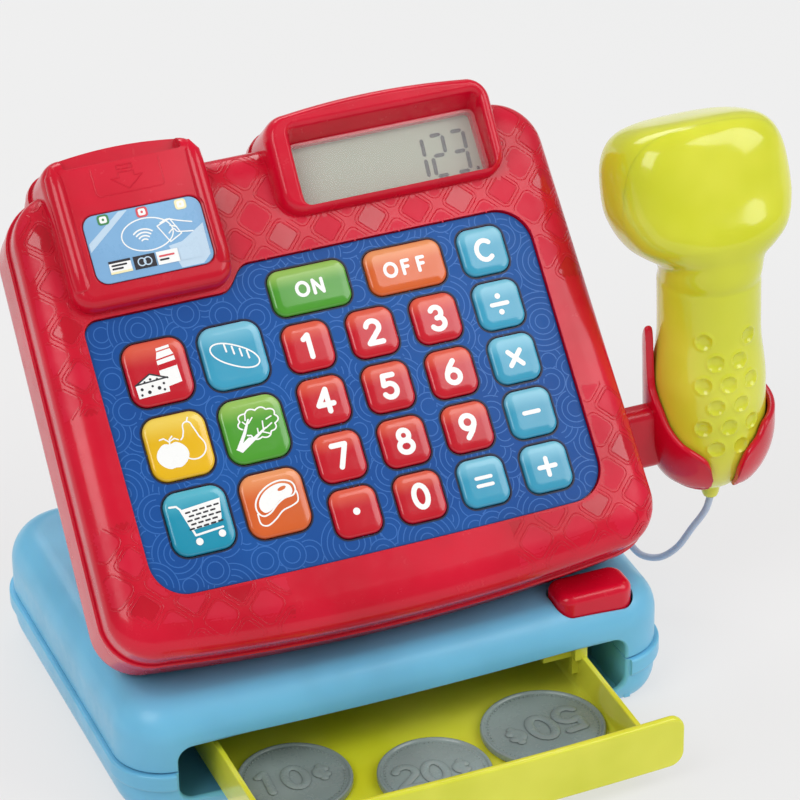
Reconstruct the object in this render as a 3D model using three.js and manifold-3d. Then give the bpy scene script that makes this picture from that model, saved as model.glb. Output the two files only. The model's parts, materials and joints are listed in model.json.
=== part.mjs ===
// Toy cash register: drawer base, tilted keypad head, display, card reader and a corded hand scanner.
// Millimetres. Origin: centre of the base's underside, on the table. +X right, +Y back, +Z up.
import * as THREE from 'three';
import { mergeVertices } from 'three/addons/utils/BufferGeometryUtils.js';
import Module from 'manifold-3d';

const wasm = await Module();
wasm.setup();

// ---------------------------------------------------------------- driving dimensions
const GAP = 0.3; // clearance between pieces that touch
const WALL = 2.1; // moulded wall thickness

const BASE = {
  halfWidth: 94, front: -71.2, back: 65, bulge: 2.4, frontRadius: 17, backRadius: 20,
  splitZ: 18, lipZ: 12.6, lip: 1.6, topZ: 41, floor: 2.6,
};
const MOUTH = { halfWidth: 77.7, bottomZ: 6.5, topZ: 26.6, radius: 5 };
const DRAWER = {
  panelHalf: 77, panelBottom: 7, panelTop: 25.8, panelThick: 2.8, travel: 45.5,
  trayHalf: 64.3, trayTop: 22.4, trayFloor: 1.8, length: 98, wall: 2, hookTop: 29,
};
const PANEL_FRONT = BASE.front - DRAWER.travel; // front of the drawer panel's ends, drawer open
const BUTTON = { x: 68.9, y: -60.8, width: 26.6, depth: 14.6, top: 45, bottom: 35.6, travel: 2.5 };
const SHELF = { left: 66.5, right: 79.8, front: -68.5, back: -50, low: 27.2, high: 29.2 };
const BUTTON_STEM = { x: 72.5, radius: 2.2, clear: 3 };
const CHEEK = { inner: 77.7, outer: 79.8, front: -70, back: -44 }; // walls beside the drawer's mouth

// The head's own frame: u right, w up the keypad, n out of it; its origin is the centre of key 5.
const HEAD = {
  origin: [13.5, -26, 113], tilt: 46.4, centreU: -14.2, halfTop: 90.5, flareLeft: 4, flareRight: 2.2,
  top: 86, bottom: -67.5, bulge: 4.5, rim: -13, crest: 1.5,
};
// The display's hood stands highest along its top edge; its lower edge is this part of that height.
const HOOD = { left: -19.2, right: 59.2, bottom: 60.2, top: 94.5, crest: 10, lowEdge: 0.66, radius: 8 };
const POCKET = {
  left: -10.6, right: 54.6, bottom: 62.4, top: 84.6, floor: 0, ledge: 1, visor: 4.2, radius: 2.4,
};
const READER = { left: -93.6, right: -40.2, bottom: 43, top: 94.4, crest: 8, radius: 6 };
const CARD_SLOT = { left: -86.5, right: -47, bottom: 50, low: 3, high: 6.2 };
const LABEL = { left: -85.2, right: -46, bottom: 50.2, top: 72.8, radius: 4, sink: 0.6 };
const OVERLAY = {
  left: -92, right: 61.5, bottom: -50, top: 49, step: 41, stepLeft: -45.6, stepRight: -33.4,
  radius: 12, smallRadius: 5, thick: 0.5,
};
const DECK_BOTTOM = -3;
const BACK = { rim: -13.3, floor: -42 };
const FOOT = { halfWidth: 66, profile: [[-36, 41.3], [26, 41.3], [52, 118], [30, 142.7], [-49.4, 59.4]] };
const FOOT_CORE = [[-34, 43.4], [24.5, 43.4], [49.6, 117.4], [28, 139], [-46.5, 60]];

const KEY = { pitchU: 22, pitchW: 18.44, size: 15.8, flange: 0.8, top: 1.4, travel: 1.2, gap: 0.4 };
const PICTURE_KEY = { u: -72.2, w: 20.8, pitchU: 25.5, pitchW: 24.55, size: 20.8 };
const POWER_KEY = { width: 26.6, height: 15.2, w: 37, onU: -16.3, offU: 16.7 };

// The scanner's own frame: origin on the handle's axis, z up the handle, which leans back.
const SCANNER = {
  origin: [128.5, -25, 83], lean: 3, split: 2, wall: 2,
  headHalf: 30.2, headFront: -13.8, headBack: 31.2, headTilt: 16.3, headMiddle: 69,
};
const HANDLE = { top: 34, waist: 17.2, belly: 18.7, shoulder: -10, length: 24 };
const CRADLE = {
  clearance: 0.6, wall: 2.2, bottom: -31, slotAngle: -8.5, slotWidth: 8.6, slotLift: 5, slotSpread: 16,
};
// The cradle's rim round the handle, [angle, height]: the angle is 0 in front and -90 on the left.
const CRADLE_RIM = [
  [-180, 4], [-150, 8], [-130, 14], [-117, 20], [-106, 25.5], [-99, 27.5], [-96, 24], [-94, 14], [-91, 8],
  [-84, 4.4], [-75, 0.3], [-66, -4.6], [-52, -9.4], [-40, -11.8], [-29, -14.6], [-24, -18], [-20, -24],
  [-8, -26], [3, -24], [6, -18.5], [11, -14], [18, -11.6], [26, -9.6], [36, -6], [50, -5], [63, -4],
  [85, -2.6], [110, -1], [140, 1],
];
const CORD_DIAMETER = 2.4;
const CORD_EXIT = { x: 0.8, y: 0.4 }; // where the cord leaves the handle, from its axis

const COLOUR = {
  red: 0xc8142f, blue: 0x1550a0, sky: 0x62b4dc, lime: 0xcdd335, green: 0x4aa52c, yellow: 0xf3bd12,
  orange: 0xe8641e, teal: 0x1c95b5, aqua: 0x46a9d6, grey: 0x8d9093, dark: 0x2a2c30, steel: 0xb6bac0,
  display: 0xa8b09e, clear: 0xdfe6e6, cord: 0xb9c6d6, board: 0x2f7a3c, rubber: 0xd8d8d2,
  lens: 0x7a1020,
};

// ---------------------------------------------------------------- geometry helpers
const register = new THREE.Group();
const headGroup = new THREE.Group();
headGroup.position.set(...HEAD.origin);
headGroup.rotation.x = THREE.MathUtils.degToRad(HEAD.tilt);
const scannerGroup = new THREE.Group();
scannerGroup.position.set(...SCANNER.origin);
scannerGroup.rotation.x = THREE.MathUtils.degToRad(-SCANNER.lean);
register.add(headGroup, scannerGroup);

function toSolid(geometry) {
  const bare = geometry.clone();
  bare.deleteAttribute('normal');
  bare.deleteAttribute('uv');
  const merged = mergeVertices(bare, 1e-4);
  return new wasm.Manifold(new wasm.Mesh({
    numProp: 3,
    vertProperties: new Float32Array(merged.attributes.position.array),
    triVerts: new Uint32Array(merged.index.array),
  }));
}

function fromSolid(solid) {
  const mesh = solid.getMesh();
  const geometry = new THREE.BufferGeometry();
  geometry.setAttribute('position', new THREE.BufferAttribute(mesh.vertProperties, 3));
  geometry.setIndex(new THREE.BufferAttribute(mesh.triVerts, 1));
  geometry.computeVertexNormals();
  return geometry;
}

function join(...geometries) {
  return fromSolid(geometries.map(toSolid).reduce((sum, next) => sum.add(next)));
}

function cut(body, ...tools) {
  return fromSolid(tools.map(toSolid).reduce((rest, tool) => rest.subtract(tool), toSolid(body)));
}

function common(first, second) {
  return fromSolid(toSolid(first).intersect(toSolid(second)));
}

function hull(...geometries) {
  return fromSolid(toSolid(join(...geometries)).hull());
}

function box(x0, x1, y0, y1, z0, z1) {
  const geometry = new THREE.BoxGeometry(x1 - x0, y1 - y0, z1 - z0);
  return geometry.translate((x0 + x1) / 2, (y0 + y1) / 2, (z0 + z1) / 2);
}

// A cylinder standing along Z from z0 to z1.
function post(x, y, z0, z1, bottomRadius, topRadius = bottomRadius, sides = 20) {
  const geometry = new THREE.CylinderGeometry(topRadius, bottomRadius, z1 - z0, sides);
  return geometry.rotateX(Math.PI / 2).translate(x, y, (z0 + z1) / 2);
}

// Rounded rectangle outline, counter-clockwise, as a function of how far it is inset.
function outline({ left, right, front, back, frontRadius, backRadius, bulge = 0, steps = 5, crown = 6 }) {
  return (inset) => {
    const points = [];
    const corner = (cx, cy, radius, from) => {
      const r = Math.max(radius - inset, 0.6);
      const shift = Math.max(inset - radius + 0.6, 0);
      const x = cx + (cx < (left + right) / 2 ? shift : -shift);
      const y = cy + (cy < (front + back) / 2 ? shift : -shift);
      for (let i = 0; i <= steps; i++) {
        const angle = from + (Math.PI / 2) * (i / steps);
        points.push(new THREE.Vector2(x + r * Math.cos(angle), y + r * Math.sin(angle)));
      }
    };
    corner(left + frontRadius, front + frontRadius, frontRadius, Math.PI);
    for (let i = 1; i < crown; i++) {
      const t = (2 * i) / crown - 1;
      const reach = (right - left) / 2 - Math.max(frontRadius, inset);
      const y = front + inset - bulge * (1 - t * t);
      points.push(new THREE.Vector2((left + right) / 2 + t * reach, y));
    }
    corner(right - frontRadius, front + frontRadius, frontRadius, 1.5 * Math.PI);
    corner(right - backRadius, back - backRadius, backRadius, 0);
    corner(left + backRadius, back - backRadius, backRadius, Math.PI / 2);
    return points;
  };
}

// Skins a stack of outlines, each [inset, height], into one closed body.
function loft(outlineAt, levels) {
  const rings = levels.map(([inset]) => outlineAt(inset));
  const count = rings[0].length;
  const positions = [];
  const index = [];
  rings.forEach((ring, level) => ring.forEach((p) => positions.push(p.x, p.y, levels[level][1])));
  for (let level = 0; level + 1 < rings.length; level++) {
    for (let i = 0; i < count; i++) {
      const a = level * count + i;
      const b = level * count + ((i + 1) % count);
      index.push(a, b, b + count, a, b + count, a + count);
    }
  }
  for (const [a, b, c] of THREE.ShapeUtils.triangulateShape(rings[0], [])) index.push(a, c, b);
  const last = (rings.length - 1) * count;
  for (const [a, b, c] of THREE.ShapeUtils.triangulateShape(rings[rings.length - 1], [])) {
    index.push(last + a, last + b, last + c);
  }
  const geometry = new THREE.BufferGeometry();
  geometry.setAttribute('position', new THREE.Float32BufferAttribute(positions, 3));
  geometry.setIndex(index);
  geometry.computeVertexNormals();
  return geometry;
}

function roundedBlock(left, right, front, back, radius, levels, steps = 3) {
  const frame = { left, right, front, back, frontRadius: radius, backRadius: radius, steps, crown: 1 };
  return loft(outline(frame), levels);
}

// A flat shape stood up along X: points are [y, z], from x0 to x1.
function slabAlongX(points, x0, x1) {
  const shape = new THREE.Shape(points.map(([y, z]) => new THREE.Vector2(y, z)));
  const geometry = new THREE.ExtrudeGeometry(shape, { depth: x1 - x0, bevelEnabled: false });
  const turn = new THREE.Matrix4().set(0, 0, 1, x0, 1, 0, 0, 0, 0, 1, 0, 0, 0, 0, 0, 1);
  return geometry.applyMatrix4(turn);
}

function add(name, geometry, colour, parent = register, roughness = 0.3, metalness = 0) {
  const material = new THREE.MeshStandardMaterial({ color: colour, roughness, metalness });
  const mesh = new THREE.Mesh(geometry, material);
  mesh.name = name;
  parent.add(mesh);
}

// A coil spring along +Z from the origin.
function coilSpring(length, radius, wire, turns) {
  class Helix extends THREE.Curve {
    getPoint(t, target = new THREE.Vector3()) {
      const angle = 2 * Math.PI * turns * t;
      return target.set(radius * Math.cos(angle), radius * Math.sin(angle), wire / 2 + t * (length - wire));
    }
  }
  const section = new THREE.Shape();
  section.absarc(0, 0, wire / 2, 0, 2 * Math.PI);
  const options = { steps: turns * 8, curveSegments: 2, extrudePath: new Helix(), bevelEnabled: false };
  return new THREE.ExtrudeGeometry(section, options);
}

// A pan-head screw along +Z, its head's outer face at the origin.
function screw(headRadius, headHeight, shankRadius, length) {
  const profile = [
    [0, 0], [headRadius * 0.8, 0], [headRadius, headHeight * 0.5], [headRadius, headHeight],
    [shankRadius, headHeight], [shankRadius, length - 1], [0, length],
  ].map(([r, z]) => new THREE.Vector2(r, z));
  return new THREE.LatheGeometry(profile, 12).rotateX(Math.PI / 2);
}

// ---------------------------------------------------------------- base shells
const baseFrame = {
  left: -BASE.halfWidth, right: BASE.halfWidth, front: BASE.front, back: BASE.back,
  frontRadius: BASE.frontRadius, backRadius: BASE.backRadius, bulge: BASE.bulge, steps: 5, crown: 8,
};
const baseOutline = outline(baseFrame);
const mouthCut = roundedBlock(-MOUTH.halfWidth, MOUTH.halfWidth, MOUTH.bottomZ, MOUTH.topZ, MOUTH.radius,
  [[0, 90], [0, -BASE.front - WALL - 0.6]].reverse()).rotateX(Math.PI / 2);
const BASE_SCREWS = [[-70, 44], [70, 44]];
const SPRING_SPOT = { x: 0, z: 13, radius: 3.4, back: 57, length: 28 };

function makeCheeks(low, high) {
  const { inner, outer, front, back } = CHEEK;
  return [box(-outer, -inner, front, back, low, high), box(inner, outer, front, back, low, high)];
}

function makeBaseLower() {
  const { splitZ, lipZ, lip, floor } = BASE;
  const tray = loft(baseOutline, [
    [5.4, 0], [3.2, 0.7], [1.4, 2.6], [0.4, 5.5], [0, 9], [0, lipZ - 0.8],
    [-lip, lipZ + 0.6], [-lip, splitZ], [WALL, splitZ], [WALL, 6], [6, floor],
  ]);
  const railTop = DRAWER.panelBottom - GAP;
  const rails = [-1, 1].map((side) => box(side * 48 - 1, side * 48 + 1, -66, 40, floor - 0.5, railTop));
  const bosses = BASE_SCREWS.map(([x, y]) => post(x, y, floor - 0.5, 16, 4.4));
  const cheeks = makeCheeks(floor - 0.5, splitZ);
  const springSeat = box(-5, 5, SPRING_SPOT.back, BASE.back - WALL + 0.4, floor - 0.5, SPRING_SPOT.z + 5);
  const body = join(tray, ...rails, ...bosses, ...cheeks, springSeat);
  const heads = BASE_SCREWS.map(([x, y]) => post(x, y, -1, 2.1, 3.7));
  const shanks = BASE_SCREWS.map(([x, y]) => post(x, y, 1, 14, 1.8, 1.8, 12));
  return cut(body, mouthCut, ...heads, ...shanks);
}

function makeBaseUpper() {
  const { splitZ, topZ } = BASE;
  const shell = loft(baseOutline, [
    [12, topZ - WALL], [7.4, topZ - WALL - 1.2], [3.6, topZ - 7], [WALL, topZ - 12], [WALL, splitZ + GAP],
    [0, splitZ + GAP], [0, topZ - 12], [0.9, topZ - 7.2], [3.2, topZ - 3.2], [6.6, topZ - 0.8], [11, topZ],
  ]);
  const { x, y, width, depth } = BUTTON;
  const half = [width / 2 + 0.5, depth / 2 + 0.5];
  const well = roundedBlock(x - half[0], x + half[0], y - half[1], y + half[1], 5, [[0, 30], [0, 60]]);
  const shelf = box(SHELF.left, SHELF.right, SHELF.front, SHELF.back, SHELF.low, SHELF.high);
  return cut(join(shell, ...makeCheeks(splitZ + GAP, SHELF.high), shelf), mouthCut, well);
}

add('base_lower_shell', makeBaseLower(), COLOUR.sky);
add('base_upper_shell', makeBaseUpper(), COLOUR.sky);
BASE_SCREWS.forEach(([x, y], i) => {
  const geometry = screw(3.3, 1.6, 1.4, 12).translate(x, y, 0.3);
  add(`base_screw_${i + 1}`, geometry, COLOUR.steel, register, 0.35, 1);
});

// ---------------------------------------------------------------- drawer and coins
function makeDrawer() {
  const { panelHalf, panelBottom, panelTop, panelThick } = DRAWER;
  const { trayHalf, trayTop, trayFloor, length, wall, hookTop } = DRAWER;
  const height = panelTop - panelBottom;
  const strip = new THREE.Shape();
  const chord = 12;
  const bend = (x) => PANEL_FRONT - BASE.bulge * (1 - (x / panelHalf) ** 2);
  for (let i = 0; i <= chord; i++) {
    const x = -panelHalf + (2 * panelHalf * i) / chord;
    strip[i ? 'lineTo' : 'moveTo'](x, bend(x));
  }
  for (let i = chord; i >= 0; i--) {
    const x = -panelHalf + (2 * panelHalf * i) / chord;
    strip.lineTo(x, bend(x) + panelThick);
  }
  const curved = new THREE.ExtrudeGeometry(strip, { depth: height, bevelEnabled: false });
  curved.translate(0, 0, panelBottom);
  const face = roundedBlock(-panelHalf, panelHalf, panelBottom, panelTop, 5, [[0, 0], [0, 12]], 4)
    .rotateX(Math.PI / 2).translate(0, PANEL_FRONT + 8, 0);
  const panel = common(curved, face);
  const front = PANEL_FRONT + 0.5;
  const back = PANEL_FRONT + length;
  const tray = roundedBlock(-trayHalf, trayHalf, front, back, 3, [[0, panelBottom], [0, trayTop]]);
  const inside = roundedBlock(
    -trayHalf + wall, trayHalf - wall, PANEL_FRONT + panelThick, back - wall, 5,
    [[0.8, panelBottom + trayFloor], [0, panelBottom + trayFloor + 1], [0, trayTop + 5]],
  );
  // The hook that stops the drawer against the inside of the base's front wall.
  const stem = join(
    box(50, trayHalf, BASE.front + 4.6, BASE.front + 7.1, trayTop - 1, hookTop),
    box(trayHalf - 4, trayHalf, BASE.front + 4.6, BASE.front + 7.1, trayTop - 8, trayTop),
  );
  const nose = box(60, trayHalf, BASE.front + 1.6, BASE.front + 5.2, trayTop - 1, hookTop);
  return join(cut(join(panel, tray), inside), stem, nose);
}

add('drawer', makeDrawer(), COLOUR.lime);

const COIN_FLOOR = DRAWER.panelBottom + DRAWER.trayFloor + GAP;
const COINS = [
  ['coin_fifty', 41.4, -85.6, 20.4], ['coin_ten', -42, -79, 18.6], ['coin_twenty', 0, -94, 18.6],
];
const COIN_THICK = 2.4;
for (const [name, x, y, radius] of COINS) {
  const edge = COIN_THICK - 0.5;
  const profile = [[0, 0], [radius - 0.5, 0], [radius, 0.5], [radius, edge], [radius - 0.5, COIN_THICK],
    [radius - 1.8, COIN_THICK], [radius - 2.2, COIN_THICK - 0.4], [0, COIN_THICK - 0.4],
  ].map(([r, z]) => new THREE.Vector2(r, z));
  const coin = new THREE.LatheGeometry(profile, 28).rotateX(Math.PI / 2).translate(x, y, COIN_FLOOR);
  add(name, coin, COLOUR.grey, register, 0.4);
}

const drawerSpring = coilSpring(SPRING_SPOT.length, SPRING_SPOT.radius, 0.9, 9).rotateX(-Math.PI / 2)
  .translate(SPRING_SPOT.x, SPRING_SPOT.back - GAP - SPRING_SPOT.length, SPRING_SPOT.z);
add('drawer_spring', drawerSpring, COLOUR.steel, register, 0.3, 1);

// ---------------------------------------------------------------- drawer release button
function makeReleaseButton() {
  const { x, y, width, depth, top, bottom } = BUTTON;
  const cap = roundedBlock(x - width / 2, x + width / 2, y - depth / 2, y + depth / 2, 4.6,
    [[0, bottom], [0, top - 2.4], [0.7, top - 0.8], [2.2, top]], 4);
  const stem = post(BUTTON_STEM.x, y, SHELF.high + BUTTON_STEM.clear, bottom + 0.5, BUTTON_STEM.radius);
  return join(cap, stem);
}

add('release_button', makeReleaseButton(), COLOUR.red);
const buttonSpring = coilSpring(BUTTON.bottom - SHELF.high - 2 * GAP, 3.4, 0.6, 4)
  .translate(BUTTON_STEM.x, BUTTON.y, SHELF.high + GAP);
add('release_button_spring', buttonSpring, COLOUR.steel, register, 0.3, 1);

// ---------------------------------------------------------------- head shells
function headOutline(inset) {
  const frame = outline({
    left: -HEAD.halfTop, right: HEAD.halfTop, front: HEAD.bottom, back: HEAD.top,
    frontRadius: 16, backRadius: 16, bulge: HEAD.bulge, steps: 5, crown: 8,
  })(inset);
  const span = HEAD.top - HEAD.bottom;
  return frame.map((p) => {
    const flare = p.x < 0 ? HEAD.flareLeft : HEAD.flareRight;
    const scale = 1 + (flare / HEAD.halfTop) * ((HEAD.top - p.y) / span);
    return new THREE.Vector2(HEAD.centreU + p.x * scale, p.y);
  });
}

function tab({ left, right, bottom, top, radius }, levels) {
  return roundedBlock(left, right, bottom, top, radius, levels, 4);
}

// Lowers the part of the hood that stands above the face, the more so the nearer its lower edge.
function sloped(geometry) {
  const corners = geometry.attributes.position;
  for (let i = 0; i < corners.count; i++) {
    const up = (corners.getY(i) - HOOD.bottom) / (HOOD.top - HOOD.bottom);
    if (corners.getZ(i) > 0) {
      corners.setZ(i, corners.getZ(i) * THREE.MathUtils.lerp(HOOD.lowEdge, 1, up));
    }
  }
  return geometry;
}

function overlayShape(grow = 0) {
  const o = OVERLAY;
  const [left, right] = [o.left - grow, o.right + grow];
  const [bottom, top, step] = [o.bottom - grow, o.top + grow, o.step + grow];
  const r = o.radius;
  const s = o.smallRadius;
  const turn = (o.stepRight - o.stepLeft) / 2;
  const middle = (o.stepLeft + o.stepRight) / 2 - grow;
  const shape = new THREE.Shape();
  shape.moveTo(left + r, bottom);
  shape.quadraticCurveTo((left + right) / 2, bottom - 1.4, right - r, bottom);
  shape.absarc(right - r, bottom + r, r, 1.5 * Math.PI, 2 * Math.PI);
  shape.absarc(right - r, top - r, r, 0, Math.PI / 2);
  shape.lineTo(middle + turn, top);
  shape.bezierCurveTo(middle, top, middle, step, middle - turn, step);
  shape.lineTo(left + s, step);
  shape.absarc(left + s, step - s, s, Math.PI / 2, Math.PI);
  shape.absarc(left + r, bottom + r, r, Math.PI, 1.5 * Math.PI);
  return shape;
}

function overlaySolid(grow, low, high) {
  const options = { depth: high - low, bevelEnabled: false, curveSegments: 5 };
  return new THREE.ExtrudeGeometry(overlayShape(grow), options).translate(0, 0, low);
}

// ---------------------------------------------------------------- keys
const KEYS = [];
function key(name, u, w, width, height, radius, colour) {
  KEYS.push({ name, u, w, width, height, radius, colour });
}
[['key_7', 'key_8', 'key_9', 'key_subtract'], ['key_4', 'key_5', 'key_6', 'key_multiply'],
  ['key_1', 'key_2', 'key_3', 'key_divide']].forEach((row, r) => row.forEach((name, c) => {
  const colour = c < 3 ? COLOUR.red : COLOUR.aqua;
  key(name, (c - 1) * KEY.pitchU, (r - 1) * KEY.pitchW, KEY.size, KEY.size, 4, colour);
}));
['key_dot', 'key_0', 'key_equals', 'key_add'].forEach((name, c) => {
  key(name, (c - 1) * KEY.pitchU, -2 * KEY.pitchW, KEY.size, KEY.size, 4, c < 2 ? COLOUR.red : COLOUR.aqua);
});
key('key_clear', 2 * KEY.pitchU, 2 * KEY.pitchW, KEY.size, KEY.size, 4, COLOUR.aqua);
key('key_on', POWER_KEY.onU, POWER_KEY.w, POWER_KEY.width, POWER_KEY.height, 4, COLOUR.green);
key('key_off', POWER_KEY.offU, POWER_KEY.w, POWER_KEY.width, POWER_KEY.height, 4, COLOUR.orange);
[['key_dairy', COLOUR.red], ['key_bread', COLOUR.aqua], ['key_fruit', COLOUR.yellow],
  ['key_vegetable', COLOUR.green], ['key_cart', COLOUR.teal], ['key_meat', COLOUR.orange],
].forEach(([name, colour], i) => {
  const u = PICTURE_KEY.u + (i % 2) * PICTURE_KEY.pitchU;
  const w = PICTURE_KEY.w - Math.floor(i / 2) * PICTURE_KEY.pitchW;
  key(name, u, w, PICTURE_KEY.size, PICTURE_KEY.size, 5, colour);
});

function keyPrism({ u, w, width, height, radius }, levels, steps = 1) {
  return roundedBlock(u - width / 2, u + width / 2, w - height / 2, w + height / 2, radius, levels, steps);
}

for (const item of KEYS) {
  const { flange, top } = KEY;
  const geometry = keyPrism(item, [
    [-flange, -4.7], [-flange, -3.5], [0, -3.5], [0, top - 0.9], [1, top],
  ]);
  add(item.name, geometry, item.colour, headGroup, 0.25);
}
const keyHoles = (low, high) => KEYS.map((item) => keyPrism(item, [[-KEY.gap, low], [-KEY.gap, high]]));

add('keypad_overlay', cut(overlaySolid(0, -OVERLAY.thick, 0), ...keyHoles(-2, 2)), COLOUR.blue,
  headGroup, 0.4);

function makeFrontShell() {
  const { rim, crest } = HEAD;
  const edge = (top) => [
    [0, rim], [0, top - 8], [0.5, top - 4.8], [1.5, top - 2.2], [2.8, top - 0.7], [4.2, top],
  ];
  const slab = loft(headOutline, [
    [0, rim], [0, -6], [0.8, -3.2], [2.6, -0.9], [6, 0.8], [11, crest],
  ]);
  const hood = sloped(tab(HOOD, edge(HOOD.crest)));
  const reader = tab(READER, edge(READER.crest));
  const ridges = [READER.left + 3.6, READER.right - 3.6].map((u) => {
    const rail = new THREE.CapsuleGeometry(3.2, READER.top - READER.bottom - 9, 3, 8);
    return rail.translate(u, (READER.top + READER.bottom) / 2, READER.crest - 1.4);
  });
  const body = join(slab, hood, reader, ...ridges);
  const slabCore = loft(headOutline, [
    [WALL, rim - 1], [WALL, -7], [5, DECK_BOTTOM - 0.4], [8, DECK_BOTTOM],
  ]);
  const hoodCore = cut(
    sloped(tab(HOOD, [[WALL, rim - 1], [WALL, HOOD.crest - 8], [5, HOOD.crest - 2.4]])),
    box(POCKET.left - 2, POCKET.right + 2, POCKET.bottom - 2, POCKET.top + 2, POCKET.floor - 2, 20),
  );
  const readerCore = tab(READER, [[WALL, rim - 1], [WALL, CARD_SLOT.low - WALL]]);
  const pocketAt = (n, top) => roundedBlock(
    POCKET.left, POCKET.right, POCKET.bottom, top, POCKET.radius, [[0, n], [0, n + 0.1]],
  );
  const pocket = hull(pocketAt(POCKET.floor, POCKET.top),
    pocketAt(HOOD.crest + 2, POCKET.top + POCKET.visor));
  const opening = box(POCKET.left + POCKET.ledge, POCKET.right - POCKET.ledge, POCKET.bottom + POCKET.ledge,
    POCKET.top - POCKET.ledge, -5, 3);
  const slot = box(CARD_SLOT.left, CARD_SLOT.right, CARD_SLOT.bottom, 99, CARD_SLOT.low, CARD_SLOT.high);
  const slotFront = box(CARD_SLOT.left, CARD_SLOT.right, READER.top - 4.6, 99, CARD_SLOT.low, 20);
  const label = roundedBlock(LABEL.left - GAP, LABEL.right + GAP, LABEL.bottom - GAP, LABEL.top + GAP,
    LABEL.radius,
    [[0, READER.crest - LABEL.sink - GAP], [0, 20]]);
  return cut(body, slabCore, hoodCore, readerCore, pocket, opening, slot, slotFront, label,
    overlaySolid(GAP, -OVERLAY.thick - GAP, 9), ...keyHoles(-6, 2));
}

add('head_front_shell', makeFrontShell(), COLOUR.red, headGroup);

// The back shell's pieces are given in the base's frame, so they are turned into the head's.
const toHead = new THREE.Matrix4().compose(
  headGroup.position, new THREE.Quaternion().setFromEuler(headGroup.rotation), new THREE.Vector3(1, 1, 1),
).invert();
const inHead = (geometry) => geometry.applyMatrix4(toHead);

// The frame of the foot's sloping back wall: x along it, y up it, z out of it.
const [footLow, footHigh] = [FOOT.profile[1], FOOT.profile[2]];
const wallLean = Math.atan2(footHigh[0] - footLow[0], footHigh[1] - footLow[1]);
const wallFrame = new THREE.Matrix4().makeTranslation(0, (footLow[0] + footHigh[0]) / 2,
  (footLow[1] + footHigh[1]) / 2)
  .multiply(new THREE.Matrix4().makeRotationX(-wallLean))
  .multiply(new THREE.Matrix4().makeBasis(
    new THREE.Vector3(-1, 0, 0), new THREE.Vector3(0, 0, 1), new THREE.Vector3(0, 1, 0),
  ));
const onWall = (geometry) => inHead(geometry.applyMatrix4(wallFrame));
const DOOR = { x: 12, y: -2, width: 62, height: 42, thick: 1.6, radius: 3 };
const SPEAKER = { x: -42, y: 2, radius: 16, depth: 7, pitch: 5, slotHalf: 1.3 };
const CORD_ENTRY = { x: 43, z: 48.5 };
const entryY = footLow[0] + (CORD_ENTRY.z - footLow[1]) * Math.tan(wallLean);
const BACK_SCREWS = [[-88, 60], [58, 60]];

function makeBackShell() {
  const { rim, floor } = BACK;
  const lip = 0.9;
  const slab = loft(headOutline, [
    [16, floor], [7, floor + 1.6], [2.4, floor + 5.5], [0.4, floor + 11],
    [0, rim - 4.6], [-lip, rim - 4], [-lip, rim],
  ]);
  const edge = (depth) => [[4, depth], [1, depth + 2.4], [0, depth + 6], [0, rim - 4.6],
    [-lip, rim - 4], [-lip, rim]];
  const hood = tab(HOOD, edge(-34));
  const reader = tab(READER, edge(-30));
  const foot = inHead(slabAlongX(FOOT.profile, -FOOT.halfWidth, FOOT.halfWidth));
  const body = join(slab, hood, reader, foot);
  const slabCore = loft(headOutline, [
    [17, floor + WALL], [9, floor + WALL + 1.4], [4.6, floor + 7], [WALL + 0.4, floor + 12],
    [WALL, rim + 1],
  ]);
  const tabCore = (frame, depth) => tab(frame, [[5, depth + WALL], [WALL, depth + 6], [WALL, rim + 1]]);
  const footHalf = FOOT.halfWidth - WALL;
  const footCore = inHead(slabAlongX(FOOT_CORE, -footHalf, footHalf));
  const { x, y, width, height } = DOOR;
  const frameBlock = onWall(box(x - 35, x + 35, y - 25, y + 25, -5, -0.2));
  const [reachX, reachY] = [width / 2 + GAP, height / 2 + GAP];
  const doorSeat = onWall(roundedBlock(x - reachX, x + reachX, y - reachY, y + reachY, DOOR.radius,
    [[0, -DOOR.thick - GAP], [0, 9]]));
  const doorway = onWall(box(x - 28, x + 28, y - 18, y + 14, -9, 3));
  const screwHole = onWall(post(x, y + 17.2, -12, 3, 1.8, 1.8, 12));
  const slots = [-2, -1, 0, 1, 2].map((i) => {
    const reach = 11.5 - Math.abs(i) * 2;
    const x = SPEAKER.x + i * SPEAKER.pitch;
    const half = SPEAKER.slotHalf;
    return onWall(box(x - half, x + half, SPEAKER.y - reach, SPEAKER.y + reach, -9, 3));
  });
  const entryHole = new THREE.CylinderGeometry(3.3, 3.3, 12, 16);
  const entry = inHead(entryHole.translate(CORD_ENTRY.x, entryY, CORD_ENTRY.z));
  const backHoles = BACK_SCREWS.flatMap(([u, w]) => [
    post(u, w, -60, floor + 7.8, 3.7), post(u, w, -60, -20, 1.8, 1.8, 12),
  ]);
  const bosses = BACK_SCREWS.map(([u, w]) => post(u, w, floor, -19, 5, 5, 14));
  const hollow = cut(body, slabCore, tabCore(HOOD, -34), tabCore(READER, -30), footCore);
  const clip = inHead(box(-200, 200, -200, 200, -50, FOOT.profile[0][1]));
  return cut(join(hollow, common(frameBlock, body), ...bosses.map((boss) => common(boss, body))),
    doorSeat, doorway, screwHole, ...slots, entry, ...backHoles, clip);
}

add('head_back_shell', makeBackShell(), COLOUR.red, headGroup);
BACK_SCREWS.forEach(([u, w], i) => {
  const geometry = screw(3.3, 1.8, 1.4, 16).translate(u, w, BACK.floor + 5.6);
  add(`back_screw_${i + 1}`, geometry, COLOUR.steel, headGroup, 0.35, 1);
});

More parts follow.
